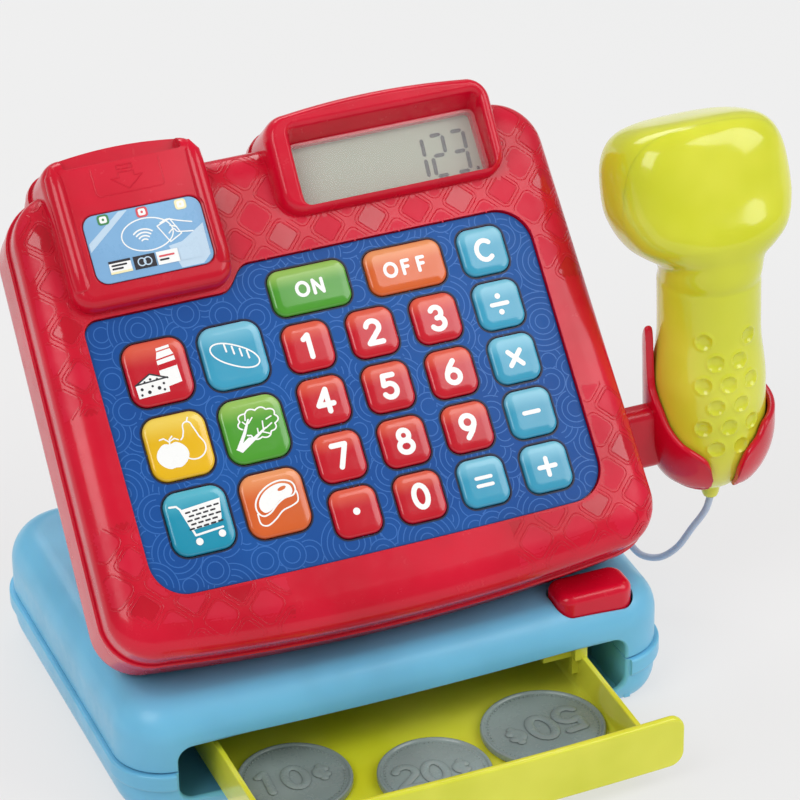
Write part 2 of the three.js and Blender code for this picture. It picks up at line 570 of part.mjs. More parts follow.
// ---------------------------------------------------------------- inside the head
add('key_mat', box(-85, 54, -46, 46.5, -8, -7), COLOUR.rubber, headGroup, 0.8);
add('circuit_board', box(-89, 58, -54, 50, -10.2, -8.6), COLOUR.board, headGroup, 0.5);
const lcdWindow = roundedBlock(
  POCKET.left + GAP, POCKET.right - GAP, POCKET.bottom + GAP, POCKET.top - GAP, POCKET.radius,
  [[0, POCKET.floor + GAP], [0, POCKET.floor + 1.3]],
);
add('lcd_window', lcdWindow, COLOUR.clear, headGroup, 0.1);
const lcd = box(POCKET.left - 1, POCKET.right + 1, POCKET.bottom - 1, POCKET.top + 1, -6.4, -3.4);
add('lcd_module', lcd, COLOUR.display, headGroup, 0.3);
const cardLabel = roundedBlock(LABEL.left, LABEL.right, LABEL.bottom, LABEL.top, LABEL.radius,
  [[0, READER.crest - LABEL.sink], [0, READER.crest - 0.1]]);
add('card_label', cardLabel, COLOUR.aqua, headGroup, 0.4);

function wallPiece(name, geometry, colour, roughness = 0.4, metalness = 0) {
  add(name, onWall(geometry), colour, headGroup, roughness, metalness);
}
wallPiece('battery_door', cut(
  roundedBlock(DOOR.x - DOOR.width / 2, DOOR.x + DOOR.width / 2, DOOR.y - DOOR.height / 2,
    DOOR.y + DOOR.height / 2, DOOR.radius, [[0, -DOOR.thick], [0, -0.4], [0.4, 0]]),
  post(DOOR.x, DOOR.y + 17.2, -3, 3, 2, 2, 12),
), COLOUR.red);
const doorScrew = screw(3, 1.4, 1.4, 9).rotateX(Math.PI);
wallPiece('battery_door_screw', doorScrew.translate(DOOR.x, DOOR.y + 17.2, 1.4 + GAP),
  COLOUR.steel, 0.35, 1);
const batteryBox = [DOOR.x - 29, DOOR.x + 29, DOOR.y - 18.6, DOOR.y + 13.4];
wallPiece('battery_box', cut(box(...batteryBox, -23, -5.4),
  box(batteryBox[0] + 1.5, batteryBox[1] - 1.5, batteryBox[2] + 1.2, batteryBox[3] - 1.2, -21.5, 0),
), COLOUR.dark);
[-1, 1].forEach((side, i) => {
  const cell = new THREE.CylinderGeometry(7, 7, 50, 20).rotateZ(Math.PI / 2);
  cell.translate(DOOR.x, DOOR.y - 2.6 + side * 7.4, -14);
  wallPiece(`battery_cell_${i + 1}`, cell, i ? COLOUR.dark : COLOUR.steel);
});
const coneEdge = SPEAKER.radius;
const cone = [[0, -3], [7, -3], [coneEdge - 1, 0], [coneEdge, 0], [coneEdge, -2], [9, -5], [9, -9], [0, -9]]
  .map(([r, z]) => new THREE.Vector2(r, z)).reverse();
const speaker = new THREE.LatheGeometry(cone, 20).rotateX(Math.PI / 2).translate(SPEAKER.x, SPEAKER.y, -3);
wallPiece('speaker', speaker, COLOUR.dark);
const grommetProfile = [[1.6, -4], [2.9, -4], [2.9, 1.4], [4.6, 1.4], [4.6, 2.6], [2.6, 4], [1.6, 4]]
  .map(([r, z]) => new THREE.Vector2(r, z));
grommetProfile.push(grommetProfile[0].clone());
const grommet = new THREE.LatheGeometry(grommetProfile, 16);
grommet.translate(CORD_ENTRY.x, entryY + 0.8, CORD_ENTRY.z);
add('cord_grommet', grommet, COLOUR.cord, register, 0.6);

// ---------------------------------------------------------------- scanner
// Handle radius along the scanner's axis.
function handleRadius(z) {
  const { top, waist, belly, shoulder, length } = HANDLE;
  if (z > shoulder) return belly + (waist - belly) * THREE.MathUtils.smoothstep(z, shoulder, top);
  const t = (shoulder - z) / length;
  return belly * Math.sqrt(Math.max(1 - 0.93 * t * t, 0.04));
}

const HANDLE_BOTTOM = HANDLE.shoulder - HANDLE.length;
const HANDLE_LEVELS = [-31, -27, -22, -16, -10, 8, 24, 40];

// The cradle's bore: the handle's shape, but never narrower than the belly that has to pass up it.
function boreRadius(z) {
  return handleRadius(Math.min(z, HANDLE.shoulder));
}

function handleSolid(shrink, low, high, radiusAt = handleRadius, sides = 24) {
  const levels = HANDLE_LEVELS.filter((z) => z > low + shrink + 0.5 && z < high - shrink - 0.5);
  const profile = [[0, low + shrink], [radiusAt(low + shrink) - shrink - 1.4, low + shrink]];
  levels.forEach((z) => profile.push([radiusAt(z) - shrink, z]));
  profile.push([radiusAt(high) - shrink, high - shrink], [0, high - shrink]);
  const points = profile.map(([r, z]) => new THREE.Vector2(Math.max(r, 0), z));
  return new THREE.LatheGeometry(points, sides).rotateX(Math.PI / 2);
}

function scannerHead(shrink) {
  const { headHalf, headFront, headBack } = SCANNER;
  const frame = outline({
    left: -headHalf, right: headHalf, front: headFront, back: headBack,
    frontRadius: 20, backRadius: 16, steps: 5, crown: 1,
  });
  const levels = [
    [15, 48], [8.5, 53.5], [3.2, 60], [0.3, 65.5], [0, 73], [0.8, 85], [3.2, 91], [8, 95], [14, 97],
  ];
  const middle = SCANNER.headMiddle + 3;
  const reach = 24;
  const inside = ([inset, z]) => [inset + shrink, z + (shrink * (middle - z)) / reach];
  return nod(loft(frame, levels.map(inside)));
}

// Tips a piece back with the scanner's head.
function nod(geometry) {
  const angle = THREE.MathUtils.degToRad(-SCANNER.headTilt);
  return geometry.translate(0, 0, -SCANNER.headMiddle).rotateX(angle).translate(0, 0, SCANNER.headMiddle);
}

const TRIGGER = { halfWidth: 5.4, low: 14, high: 35, out: 21 };
const WINDOW = { halfWidth: 16, low: 63, high: 82, depth: 1.6 };
// Finger dimples, [angle, height] on the front of the handle, in staggered columns.
const DIMPLE = { radius: 4.3, sink: 0.7, stepAngle: 13.2, firstAngle: -31.4, top: 27.3, stepZ: 15.6 };
const DIMPLES = [];
for (let column = 0; column < 5; column++) {
  for (let row = column === 2 ? 1 : 0; row < 3; row++) {
    const z = DIMPLE.top - (row + (column % 2) / 2) * DIMPLE.stepZ;
    DIMPLES.push([DIMPLE.firstAngle + column * DIMPLE.stepAngle, z]);
  }
}

function makeScannerShells() {
  const outer = join(handleSolid(0, HANDLE_BOTTOM, 53), scannerHead(0));
  const inner = join(handleSolid(SCANNER.wall, HANDLE_BOTTOM, 55), scannerHead(SCANNER.wall));
  const cordHole = post(CORD_EXIT.x, CORD_EXIT.y, HANDLE_BOTTOM - 4, HANDLE_BOTTOM + 6, 1.9, 1.9, 12);
  const triggerHalf = TRIGGER.halfWidth + GAP;
  const triggerHole = box(-triggerHalf, triggerHalf, 6, 24, TRIGGER.low - GAP, TRIGGER.high + GAP);
  const { halfWidth, low, high, depth } = WINDOW;
  const windowHole = nod(box(2 - halfWidth, halfWidth - 2, 20, 50, low + 2, high - 2));
  const windowSeat = nod(roundedBlock(-halfWidth - GAP, halfWidth + GAP, low - GAP, high + GAP, 4,
    [[0, 0], [0, 12]]).rotateX(Math.PI / 2).translate(0, SCANNER.headBack + 12 - depth, 0));
  const windowRim = nod(box(-halfWidth - 2, halfWidth + 2, SCANNER.headBack - 4.4, SCANNER.headBack - 1,
    low - 2, high + 2));
  const dimples = DIMPLES.map(([angle, z]) => {
    const turn = THREE.MathUtils.degToRad(angle);
    const reach = handleRadius(z) + DIMPLE.radius - DIMPLE.sink;
    const ball = new THREE.SphereGeometry(DIMPLE.radius, 6, 6);
    return ball.translate(reach * Math.sin(turn), -reach * Math.cos(turn), z);
  });
  const hollow = join(cut(outer, inner), common(windowRim, outer));
  const shell = cut(hollow, cordHole, triggerHole, windowHole, windowSeat);
  const front = cut(common(shell, box(-60, 60, -60, SCANNER.split - GAP / 2, -60, 120)), ...dimples);
  const rear = common(shell, box(-60, 60, SCANNER.split + GAP / 2, 60, -60, 120));
  return [front, rear];
}

const [scannerFront, scannerRear] = makeScannerShells();
add('scanner_front_shell', scannerFront, COLOUR.lime, scannerGroup);
add('scanner_rear_shell', scannerRear, COLOUR.lime, scannerGroup);
const trigger = join(
  box(-TRIGGER.halfWidth, TRIGGER.halfWidth, 11, TRIGGER.out, TRIGGER.low, TRIGGER.high),
  box(-TRIGGER.halfWidth - 2, TRIGGER.halfWidth + 2, 11, 12.6, TRIGGER.low - 1.6, TRIGGER.high + 1.6),
);
add('scan_trigger', trigger, COLOUR.red, scannerGroup);
add('scan_window', nod(roundedBlock(-WINDOW.halfWidth, WINDOW.halfWidth, WINDOW.low, WINDOW.high, 3.6,
  [[0, 0],
    [0,
      1.2]]).rotateX(Math.PI / 2).translate(0, SCANNER.headBack - 0.1, 0)), COLOUR.lens, scannerGroup, 0.1);
const cordBoot = post(CORD_EXIT.x, CORD_EXIT.y, HANDLE_BOTTOM - 6, HANDLE_BOTTOM - GAP, 2.4, 3.4, 16);
add('scanner_cord_boot', cordBoot, COLOUR.lime, scannerGroup, 0.4);

// The cradle's arm in the scanner's frame: from the side of the head to the cup.
const ARM = { left: -36.4, right: -17.5, front: -3.5, back: 5.5, low: -22.8, high: -0.8, radius: 2 };

// Height of the cradle's lower edge: level, but rising to the two claws' rounded ends.
function cradleFoot(angle) {
  const away = (angle - CRADLE.slotAngle) / CRADLE.slotSpread;
  return CRADLE.bottom + CRADLE.slotLift * Math.exp(-away * away);
}

function makeCradle() {
  const { clearance, wall } = CRADLE;
  const corners = CRADLE_RIM.map(([angle, height]) => new THREE.Vector3(angle, height, 0));
  corners.push(new THREE.Vector3(180, CRADLE_RIM[0][1], 0));
  const rim = new THREE.CatmullRomCurve3(corners, false, 'centripetal');
  const around = 2 * CRADLE_RIM.length;
  const along = 5;
  const positions = [];
  const index = [];
  for (let i = 0; i < around; i++) {
    const { x: degrees, y: high } = rim.getPoint(i / around);
    const turn = THREE.MathUtils.degToRad(degrees);
    const low = cradleFoot(degrees);
    for (let side = 0; side < 2; side++) {
      for (let j = 0; j < along; j++) {
        const t = side === 0 ? j / (along - 1) : 1 - j / (along - 1);
        const z = low + (high - low) * t;
        const radius = boreRadius(z) + clearance + (side === 0 ? wall : 0);
        positions.push(radius * Math.sin(turn), -radius * Math.cos(turn), z);
      }
    }
  }
  const loop = 2 * along;
  for (let i = 0; i < around; i++) {
    for (let j = 0; j < loop; j++) {
      const a = i * loop + j;
      const b = ((i + 1) % around) * loop + j;
      const c = ((i + 1) % around) * loop + ((j + 1) % loop);
      const d = i * loop + ((j + 1) % loop);
      index.push(a, b, c, a, c, d);
    }
  }
  const cup = new THREE.BufferGeometry();
  cup.setAttribute('position', new THREE.Float32BufferAttribute(positions, 3));
  cup.setIndex(index);
  cup.computeVertexNormals();
  const slot = box(-CRADLE.slotWidth / 2, CRADLE.slotWidth / 2, -30, 0, -40, 0);
  slot.rotateZ(THREE.MathUtils.degToRad(CRADLE.slotAngle));
  const arm = roundedBlock(ARM.front, ARM.back, ARM.low, ARM.high, ARM.radius,
    [[0, ARM.left], [0, ARM.right]]);
  arm.applyMatrix4(new THREE.Matrix4().set(0, 0, 1, 0, 1, 0, 0, 0, 0, 1, 0, 0, 0, 0, 0, 1));
  const bore = handleSolid(-0.5, HANDLE_BOTTOM, 60, boreRadius);
  return cut(join(cup, arm), slot, bore);
}

add('scanner_cradle', makeCradle(), COLOUR.red, scannerGroup);

// ---------------------------------------------------------------- scanner cord
// Out of the boot, down in a slack loop beside the base, up over its edge and along the ledge
// behind the head, where the spare length lies in one long bend, then into the grommet.
const CORD_ROUTE = [
  [129.3, -26.8, 42.6], [128, -26.2, 37.2], [124.2, -23.6, 29], [119.8, -21.2, 20.8], [115, -17.6, 16],
  [110.4, -13, 15.6], [107.4, -8, 19.4], [104.6, 0, 23.6], [102.2, 8, 29.4], [99.4, 16, 35.6],
  [95.4, 23.6, 40.8],
  [89.6, 30.4, 43.6], [82, 36.4, 43.2], [73, 42, 42.5], [62, 47, 42.5], [48, 50.6, 42.5], [30, 52.6, 42.5],
  [12, 53.2, 42.5], [-6, 52.6, 42.5], [-18, 51, 42.5], [-25, 47, 42.5], [-26, 42, 42.5], [-21, 38, 42.5],
  [-12, 36.4, 42.5], [2, 36.6, 42.5], [16, 38.4, 42.5], [29, 40.4, 42.6], [38, 39.8, 43.8],
  [42.4, 36.6, 46.4],
  [43, 34.2, 48.2], [43, 33.4, 48.5],
];

function makeCord() {
  const points = CORD_ROUTE.map((point) => new THREE.Vector3(...point));
  const path = new THREE.CatmullRomCurve3(points, false, 'centripetal');
  const section = new THREE.Shape();
  section.absarc(0, 0, CORD_DIAMETER / 2, 0, 2 * Math.PI);
  return new THREE.ExtrudeGeometry(section, {
    steps: 66, curveSegments: 4, extrudePath: path, bevelEnabled: false,
  });
}
add('scanner_cord', makeCord(), COLOUR.cord, register, 0.5);

export default register;
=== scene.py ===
import json
import math
import random

import bmesh
import bpy
from mathutils import Matrix, Vector

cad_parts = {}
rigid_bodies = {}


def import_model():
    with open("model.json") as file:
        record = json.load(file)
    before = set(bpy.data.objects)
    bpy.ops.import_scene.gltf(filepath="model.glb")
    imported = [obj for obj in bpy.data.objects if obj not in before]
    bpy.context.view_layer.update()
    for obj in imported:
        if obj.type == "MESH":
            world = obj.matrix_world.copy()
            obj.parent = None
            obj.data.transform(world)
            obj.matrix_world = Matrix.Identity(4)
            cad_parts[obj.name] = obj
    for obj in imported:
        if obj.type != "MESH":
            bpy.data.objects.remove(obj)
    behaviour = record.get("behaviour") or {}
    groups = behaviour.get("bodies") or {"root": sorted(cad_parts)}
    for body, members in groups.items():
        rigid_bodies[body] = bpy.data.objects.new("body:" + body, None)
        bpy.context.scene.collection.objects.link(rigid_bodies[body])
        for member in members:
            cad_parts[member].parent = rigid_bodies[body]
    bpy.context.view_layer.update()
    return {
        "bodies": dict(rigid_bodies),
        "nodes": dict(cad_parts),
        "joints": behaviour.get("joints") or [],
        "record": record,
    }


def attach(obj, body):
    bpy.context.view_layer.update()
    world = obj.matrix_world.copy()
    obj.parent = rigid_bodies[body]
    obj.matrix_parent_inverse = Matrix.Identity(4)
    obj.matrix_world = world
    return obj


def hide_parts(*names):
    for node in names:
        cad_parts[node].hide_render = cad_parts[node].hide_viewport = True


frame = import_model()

MM = 0.001
GAP = 0.3  # clearance between pieces that touch, in millimetres
WORLD = Matrix.Identity(4)
HEAD = Matrix.Translation((0.0135, -0.026, 0.113)) @ Matrix.Rotation(math.radians(46.4), 4, "X")
SCANNER = Matrix.Translation((0.1285, -0.025, 0.083)) @ Matrix.Rotation(math.radians(-3), 4, "X")


# ------------------------------------------------------------------ camera
CAMERA_TURN = (-21.94, 31.26, -0.97)  # yaw, pitch and roll in degrees
CAMERA_SPOT = (-0.4092, -1.0854, 0.8006)
FOCAL_PIXELS, IMAGE_PIXELS, SENSOR = 4170.8, 800, 36


def build_camera():
    yaw, pitch, roll = (math.radians(a) for a in CAMERA_TURN)
    level = math.cos(pitch)
    back = Vector((math.sin(yaw) * level, -math.cos(yaw) * level, math.sin(pitch)))
    right = Vector((math.cos(yaw), math.sin(yaw), 0))
    up = back.cross(right)
    c, s = math.cos(roll), math.sin(roll)
    columns = [c * right + s * up, -s * right + c * up, back]
    data = bpy.data.cameras.new("camera")
    data.sensor_width = SENSOR
    data.lens = FOCAL_PIXELS * SENSOR / IMAGE_PIXELS
    data.clip_start = 0.05
    camera = bpy.data.objects.new("camera", data)
    turn = Matrix([[columns[j][i] for j in range(3)] for i in range(3)]).to_4x4()
    camera.matrix_world = Matrix.Translation(CAMERA_SPOT) @ turn
    bpy.context.scene.collection.objects.link(camera)
    bpy.context.scene.camera = camera


build_camera()


# ------------------------------------------------------------------ materials
class Nodes:
    """A material's node tree, with a short way to add and join nodes."""

    def __init__(self, name):
        self.material = bpy.data.materials.new(name)
        self.material.use_nodes = True
        self.tree = self.material.node_tree
        self.shader = self.tree.nodes["Principled BSDF"]

    def add(self, kind, settings=None, **inputs):
        node = self.tree.nodes.new("ShaderNode" + kind)
        for key, value in (settings or {}).items():
            setattr(node, key, value)
        for key, value in inputs.items():
            self.put(node.inputs[key.replace("_", " ")], value)
        return node

    def put(self, socket, value):
        if isinstance(value, bpy.types.NodeSocket):
            self.tree.links.new(value, socket)
        else:
            socket.default_value = value

    def mix(self, factor, first, second, blend="MIX"):
        node = self.tree.nodes.new("ShaderNodeMix")
        node.data_type = "RGBA"
        node.blend_type = blend
        for socket, value in ((0, factor), (6, first), (7, second)):
            self.put(node.inputs[socket], value)
        return node.outputs[2]

    def fit(self, value, low, high, to_low, to_high):
        node = self.add("MapRange", {"clamp": True, "interpolation_type": "SMOOTHSTEP"})
        for socket, number in zip(node.inputs, (value, low, high, to_low, to_high)):
            self.put(socket, number)
        return node.outputs[0]

    def coords(self, kind="Object"):
        return self.add("TexCoord").outputs[kind]

    def noise(self, place, scale, **more):
        return self.add("TexNoise", Vector=place, Scale=scale, **more).outputs["Fac"]

    def shade(self, **inputs):
        """Sets or joins the shader's own inputs."""
        for key, value in inputs.items():
            self.put(self.shader.inputs[key.replace("_", " ")], value)


def rgb(r, g, b):
    """Linear colour from display values of 0 to 255."""
    return tuple(((v / 255) / 12.92 if v < 10 else (((v / 255) + 0.055) / 1.055) ** 2.4)
                 for v in (r, g, b)) + (1,)


def plastic(name, colour, rough=0.22, coat=0.25, glow=0.0, grain=900, depth=0.00002,
            round_edge=0.0004, deep=None, shift=0.9, scuffs=0.08, shine=0.4):
    """Moulded plastic: flow tint, orange-peel skin, handling marks in the gloss, soft edges."""
    m = Nodes(name)
    place = m.coords()
    flow = m.noise(place, 18, Detail=3, Roughness=0.55)
    dark = tuple(c * shift for c in (deep or colour)[:3]) + (1,)
    m.shade(Base_Color=m.mix(m.fit(flow, 0.35, 0.65, 0.0, 1.0), dark, colour))
    marks = m.noise(place, 160, Detail=6, Roughness=0.7)
    m.shade(Roughness=m.fit(marks, 0.35, 0.75, rough - scuffs / 2, rough + scuffs))
    peel = m.noise(place, grain, Detail=2)
    soft = m.add("Bevel", {"samples": 4}, Radius=round_edge).outputs["Normal"]
    bump = m.add("Bump", Strength=0.25, Distance=depth, Height=peel, Normal=soft)
    m.shade(Normal=bump.outputs["Normal"])
    m.shade(Specular_IOR_Level=shine, Coat_Weight=coat, Coat_Roughness=0.08)
    m.shade(Subsurface_Weight=glow, Subsurface_Radius=(0.004, 0.003, 0.002), Subsurface_Scale=1.0)
    return m


RED, SKY, LIME = rgb(212, 10, 46), rgb(112, 190, 226), rgb(226, 226, 72)
INK = dict(rough=0.3, round_edge=0.0)
PLASTICS = {  # key: material name, colour and how it differs from plain moulded plastic
    "red": ("red_plastic", RED, dict(deep=rgb(202, 6, 38), shine=0.3)),
    "red_deep": ("red_deep_plastic", rgb(198, 4, 36),
                 dict(rough=0.14, coat=0.5, deep=rgb(188, 4, 32), shine=0.3)),
    "red_satin": ("red_satin_plastic", rgb(214, 18, 54),
                  dict(rough=0.34, coat=0.0, grain=2200, depth=0.00004,
                       deep=rgb(206, 14, 48), shine=0.3)),
    "sky": ("sky_plastic", SKY, dict(rough=0.34, coat=0.1, glow=0.15, deep=rgb(108, 184, 220))),
    "lime": ("lime_plastic", LIME,
             dict(rough=0.16, coat=0.4, glow=0.2, deep=rgb(216, 220, 44), round_edge=0.00015)),
    "coin": ("coin_plastic", rgb(150, 164, 162),
             dict(rough=0.26, coat=0.35, deep=rgb(132, 146, 144), round_edge=0.0002)),
    "black": ("black_plastic", rgb(34, 34, 38), dict(rough=0.5, coat=0)),
    "cord": ("cord_sheath", rgb(186, 200, 222), dict(rough=0.45, coat=0, glow=0.2, grain=2600)),
    "mat": ("silicone_mat", rgb(214, 214, 206), dict(rough=0.6, coat=0)),
    "white": ("white_ink", rgb(246, 246, 244),
              dict(rough=0.3, coat=0.2, shift=0.97, round_edge=0.0)),
    "dark_ink": ("dark_ink", rgb(40, 36, 44), dict(rough=0.35, coat=0.2, round_edge=0.0)),
    "cream": ("cream_ink", rgb(250, 240, 190), INK),
    "rose": ("rose_ink", rgb(226, 84, 92), INK),
    "pale": ("pale_ink", rgb(196, 220, 240), INK),
    "label": ("label_film", rgb(140, 188, 226),
              dict(rough=0.3, coat=0.3, deep=rgb(126, 176, 220))),
    "film": ("keypad_film", rgb(12, 82, 158),
             dict(rough=0.36, coat=0.05, deep=rgb(8, 76, 154), shine=0.2)),
    # navy ring round the keys: printed outline and painted gap shadow
    "navy": ("navy_outline_shadow_ink", rgb(10, 26, 64), dict(rough=0.36, coat=0.15, round_edge=0.0)),
    "leaf": ("leaf_ink", rgb(70, 140, 80), INK),
    "film_line": ("keypad_film_line", rgb(34, 104, 186),
                  dict(rough=0.36, coat=0.15, round_edge=0.0)),
    "lens": ("scan_lens", rgb(96, 8, 20), dict(rough=0.08, coat=0.6)),
}
MAT = {key: plastic(name, colour, **how).material for key, (name, colour, how) in PLASTICS.items()}


def key_plastic(name, colour, painted_highlight):
    """Clear-topped key: its printed colour runs up to a painted highlight, a lighter top band."""
    m = plastic(name, colour, rough=0.16, coat=0.5, round_edge=0.0003)
    up = m.add("SeparateXYZ", Vector=m.coords("Generated")).outputs["Z"]
    tinted = m.shader.inputs["Base Color"].links[0].from_socket
    # painted highlight: the cap's colour is lightened towards its top edge
    m.shade(Base_Color=m.mix(m.fit(up, 0.7, 1.0, 0.0, 0.55), tinted, painted_highlight))
    return m.material


KEY_COLOURS = {  # the cap's colour and its lighter band, a painted highlight
    "red": (rgb(200, 14, 36), rgb(240, 120, 84)),
    "aqua": (rgb(60, 160, 194), rgb(150, 214, 232)),
    "green": (rgb(76, 156, 44), rgb(186, 214, 110)),
    "orange": (rgb(216, 98, 40), rgb(246, 178, 120)),
    "yellow": (rgb(236, 186, 16), rgb(246, 224, 110)),
    "teal": (rgb(26, 148, 178), rgb(110, 200, 216)),
}
for tone, (colour, painted_highlight) in KEY_COLOURS.items():
    MAT["key_" + tone] = key_plastic("key_" + tone, colour, painted_highlight)


def metal(name, colour, rough):
    m = Nodes(name)
    place = m.coords()
    stretch = m.add("Mapping", Vector=place, Scale=(1, 1, 14)).outputs["Vector"]
    brush = m.noise(stretch, 600, Detail=4)
    m.shade(Base_Color=m.mix(brush, tuple(c * 0.8 for c in colour[:3]) + (1,), colour))
    m.shade(Roughness=m.fit(brush, 0.3, 0.7, rough - 0.06, rough + 0.08))
    m.shade(Normal=m.add("Bump", Strength=0.2, Distance=0.00002, Height=brush).outputs["Normal"])
    m.shade(Metallic=1.0)
    return m.material


MAT["steel"] = metal("plated_steel", rgb(196, 198, 202), 0.3)


def circuit():
    m = Nodes("circuit_board")
    place = m.coords()
    traces = m.add("TexBrick", {"offset": 0.5}, Vector=place, Scale=260,
                   Mortar_Size=0.09).outputs["Fac"]
    base = m.mix(traces, rgb(20, 92, 44), rgb(96, 150, 74))
    m.shade(Base_Color=base)
    speck = m.noise(place, 500)
    m.shade(Roughness=m.fit(speck, 0.3, 0.7, 0.32, 0.5))
    return m.material


def display():
    m = Nodes("display_crystal")
    place = m.coords()
    haze = m.noise(place, 30, Detail=2)
    m.shade(Base_Color=m.mix(haze, rgb(160, 170, 150), rgb(178, 184, 166)))
    grain = m.noise(place, 3000)
    m.shade(Roughness=m.fit(grain, 0.3, 0.7, 0.38, 0.5))
    return m.material


def clear():
    m = Nodes("clear_window")
    place = m.coords()
    haze = m.noise(place, 90, Detail=3)
    m.shade(Base_Color=m.mix(haze, rgb(226, 232, 230), rgb(240, 244, 242)))
    m.shade(Roughness=m.fit(haze, 0.3, 0.7, 0.03, 0.09))
    m.shade(Alpha=0.1)
    return m.material


MAT["board"], MAT["display"], MAT["clear"] = circuit(), display(), clear()


def cell_wrap():
    m = Nodes("cell_wrap")
    place = m.coords("Generated")
    along = m.add("SeparateXYZ", Vector=place).outputs["X"]
    band = m.fit(along, 0.66, 0.68, 0.0, 1.0)
    m.shade(Base_Color=m.mix(band, rgb(44, 46, 52), rgb(190, 130, 60)))
    wear = m.noise(place, 12, Detail=4)
    m.shade(Roughness=m.fit(wear, 0.3, 0.7, 0.28, 0.4))
    return m.material


MAT["cell"] = cell_wrap()


# ------------------------------------------------------------------ mesh helpers
def make(name, verts, faces, matrix=WORLD, materials=("red",), index=None):
    """A mesh object from millimetre points given in the frame of matrix."""
    mesh = bpy.data.meshes.new(name)
    mesh.from_pydata([matrix @ (Vector(v) * MM) for v in verts], [], faces)
    for key in materials:
        mesh.materials.append(MAT[key])
    if index:
        mesh.polygons.foreach_set("material_index", index)
    obj = bpy.data.objects.new(name, mesh)
    bpy.context.scene.collection.objects.link(obj)
    return obj


def baked(obj):
    """Applies the object's modifiers."""
    bpy.context.view_layer.update()
    ready = obj.evaluated_get(bpy.context.evaluated_depsgraph_get())
    mesh = bpy.data.meshes.new_from_object(ready)
    obj.modifiers.clear()
    old, obj.data = obj.data, mesh
    bpy.data.meshes.remove(old)
    return obj


def carve(obj, cuts=(), adds=(), common=()):
    for kind, tools in (("UNION", adds), ("DIFFERENCE", cuts), ("INTERSECT", common)):
        for tool in tools:
            step = obj.modifiers.new("boolean", "BOOLEAN")
            step.operation, step.object, step.solver = kind, tool, "EXACT"
    baked(obj)
    for tool in (*cuts, *adds, *common):
        bpy.data.objects.remove(tool)
    return obj


def smooth(obj, angle):
    """Smooth shading with hard edges above an angle, and flat faces kept flat."""
    mesh = obj.data
    mesh.polygons.foreach_set("use_smooth", [True] * len(mesh.polygons))
    mesh.set_sharp_from_angle(angle=math.radians(angle))
    weight = obj.modifiers.new("weight", "WEIGHTED_NORMAL")
    weight.keep_sharp = True
    return baked(obj)


def polish(obj, angle=32):
    """Smooth shading on a mesh freed of doubled points and slivers."""
    bm = bmesh.new()
    bm.from_mesh(obj.data)
    bmesh.ops.remove_doubles(bm, verts=bm.verts, dist=2e-6)
    bmesh.ops.dissolve_degenerate(bm, edges=bm.edges, dist=1e-6)
    bm.to_mesh(obj.data)
    bm.free()
    return smooth(obj, angle)


def paint(node, key):
    """Gives a CAD node that stays in view its material."""
    for part in bpy.data.objects[node].material_slots:
        part.material = MAT[key]


def place(obj, body, slot, *nodes):
    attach(obj, body)
    if nodes:
        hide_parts(*nodes)
    return obj


def outline(left, right, front, back, front_radius, back_radius, bulge=0.0, steps=12, crown=1):
    """Rounded rectangle, anticlockwise, as a function of how far it is inset."""
    def at(inset):
        points = []

        def corner(cx, cy, radius, start):
            r = max(radius - inset, 0.6)
            shift = max(inset - radius + 0.6, 0)
            x = cx + (shift if cx < (left + right) / 2 else -shift)
            y = cy + (shift if cy < (front + back) / 2 else -shift)
            for i in range(steps + 1):
                a = start + math.pi / 2 * i / steps
                points.append((x + r * math.cos(a), y + r * math.sin(a)))

        corner(left + front_radius, front + front_radius, front_radius, math.pi)
        for i in range(1, crown):
            t = 2 * i / crown - 1
            reach = (right - left) / 2 - max(front_radius, inset)
            points.append(((left + right) / 2 + t * reach, front + inset - bulge * (1 - t * t)))
        corner(right - front_radius, front + front_radius, front_radius, 1.5 * math.pi)
        corner(right - back_radius, back - back_radius, back_radius, 0)
        corner(left + back_radius, back - back_radius, back_radius, math.pi / 2)
        return points
    return at


def quarter(i0, z0, i1, z1, steps=7, upright=True):
    """A quarter-ellipse of [inset, height] levels; upright starts along the height."""
    levels = []
    for k in range(steps + 1):
        a = math.pi / 2 * k / steps
        s, c = math.sin(a), 1 - math.cos(a)
        levels.append((i0 + (i1 - i0) * (c if upright else s),
                       z0 + (z1 - z0) * (s if upright else c)))
    return levels


def skin(rings, caps=True, loop=False):
    count, verts, faces = len(rings[0]), [], []
    for ring in rings:
        verts += ring
    for k in range(len(rings) if loop else len(rings) - 1):
        a, b = k * count, (k + 1) % len(rings) * count
        for i in range(count):
            j = (i + 1) % count
            faces.append((a + i, a + j, b + j, b + i))
    if caps and not loop:
        faces.append(tuple(reversed(range(count))))
        faces.append(tuple(range(len(verts) - count, len(verts))))
    return verts, faces


def loft(shape, levels, caps=True, loop=False):
    return skin([[(x, y, z) for x, y in shape(inset)] for inset, z in levels], caps, loop)


def block(left, right, front, back, radius, levels, steps=8):
    return loft(outline(left, right, front, back, radius, radius, steps=steps), levels)


def around(x, y, width, height, grow=0):
    """The sides of a rectangle about a point: left, right, front, back."""
    return x - width / 2 - grow, x + width / 2 + grow, y - height / 2 - grow, y + height / 2 + grow


def tilted(data, matrix):
    verts, faces = data
    return [tuple(matrix @ Vector(v)) for v in verts], faces


def cuboid(x0, x1, y0, y1, z0, z1):
    verts = [(x, y, z) for z in (z0, z1) for x, y in ((x0, y0), (x1, y0), (x1, y1), (x0, y1))]
    return verts, [(0, 3, 2, 1), (4, 5, 6, 7), (0, 1, 5, 4), (1, 2, 6, 5), (2, 3, 7, 6),
                   (3, 0, 4, 7)]


def lathe(profile, sides=64, closed=False):
    """Turned about Z; profile is [radius, z] from the bottom outwards and up."""
    rings = []
    for r, z in profile:
        ring = []
        for i in range(sides):
            a = 2 * math.pi * i / sides
            ring.append((r * math.cos(a), r * math.sin(a), z))
        rings.append(ring)
    return skin(rings, loop=closed)


def shifted(data, x, y, z):
    verts, faces = data
    return [(a + x, b + y, c + z) for a, b, c in verts], faces


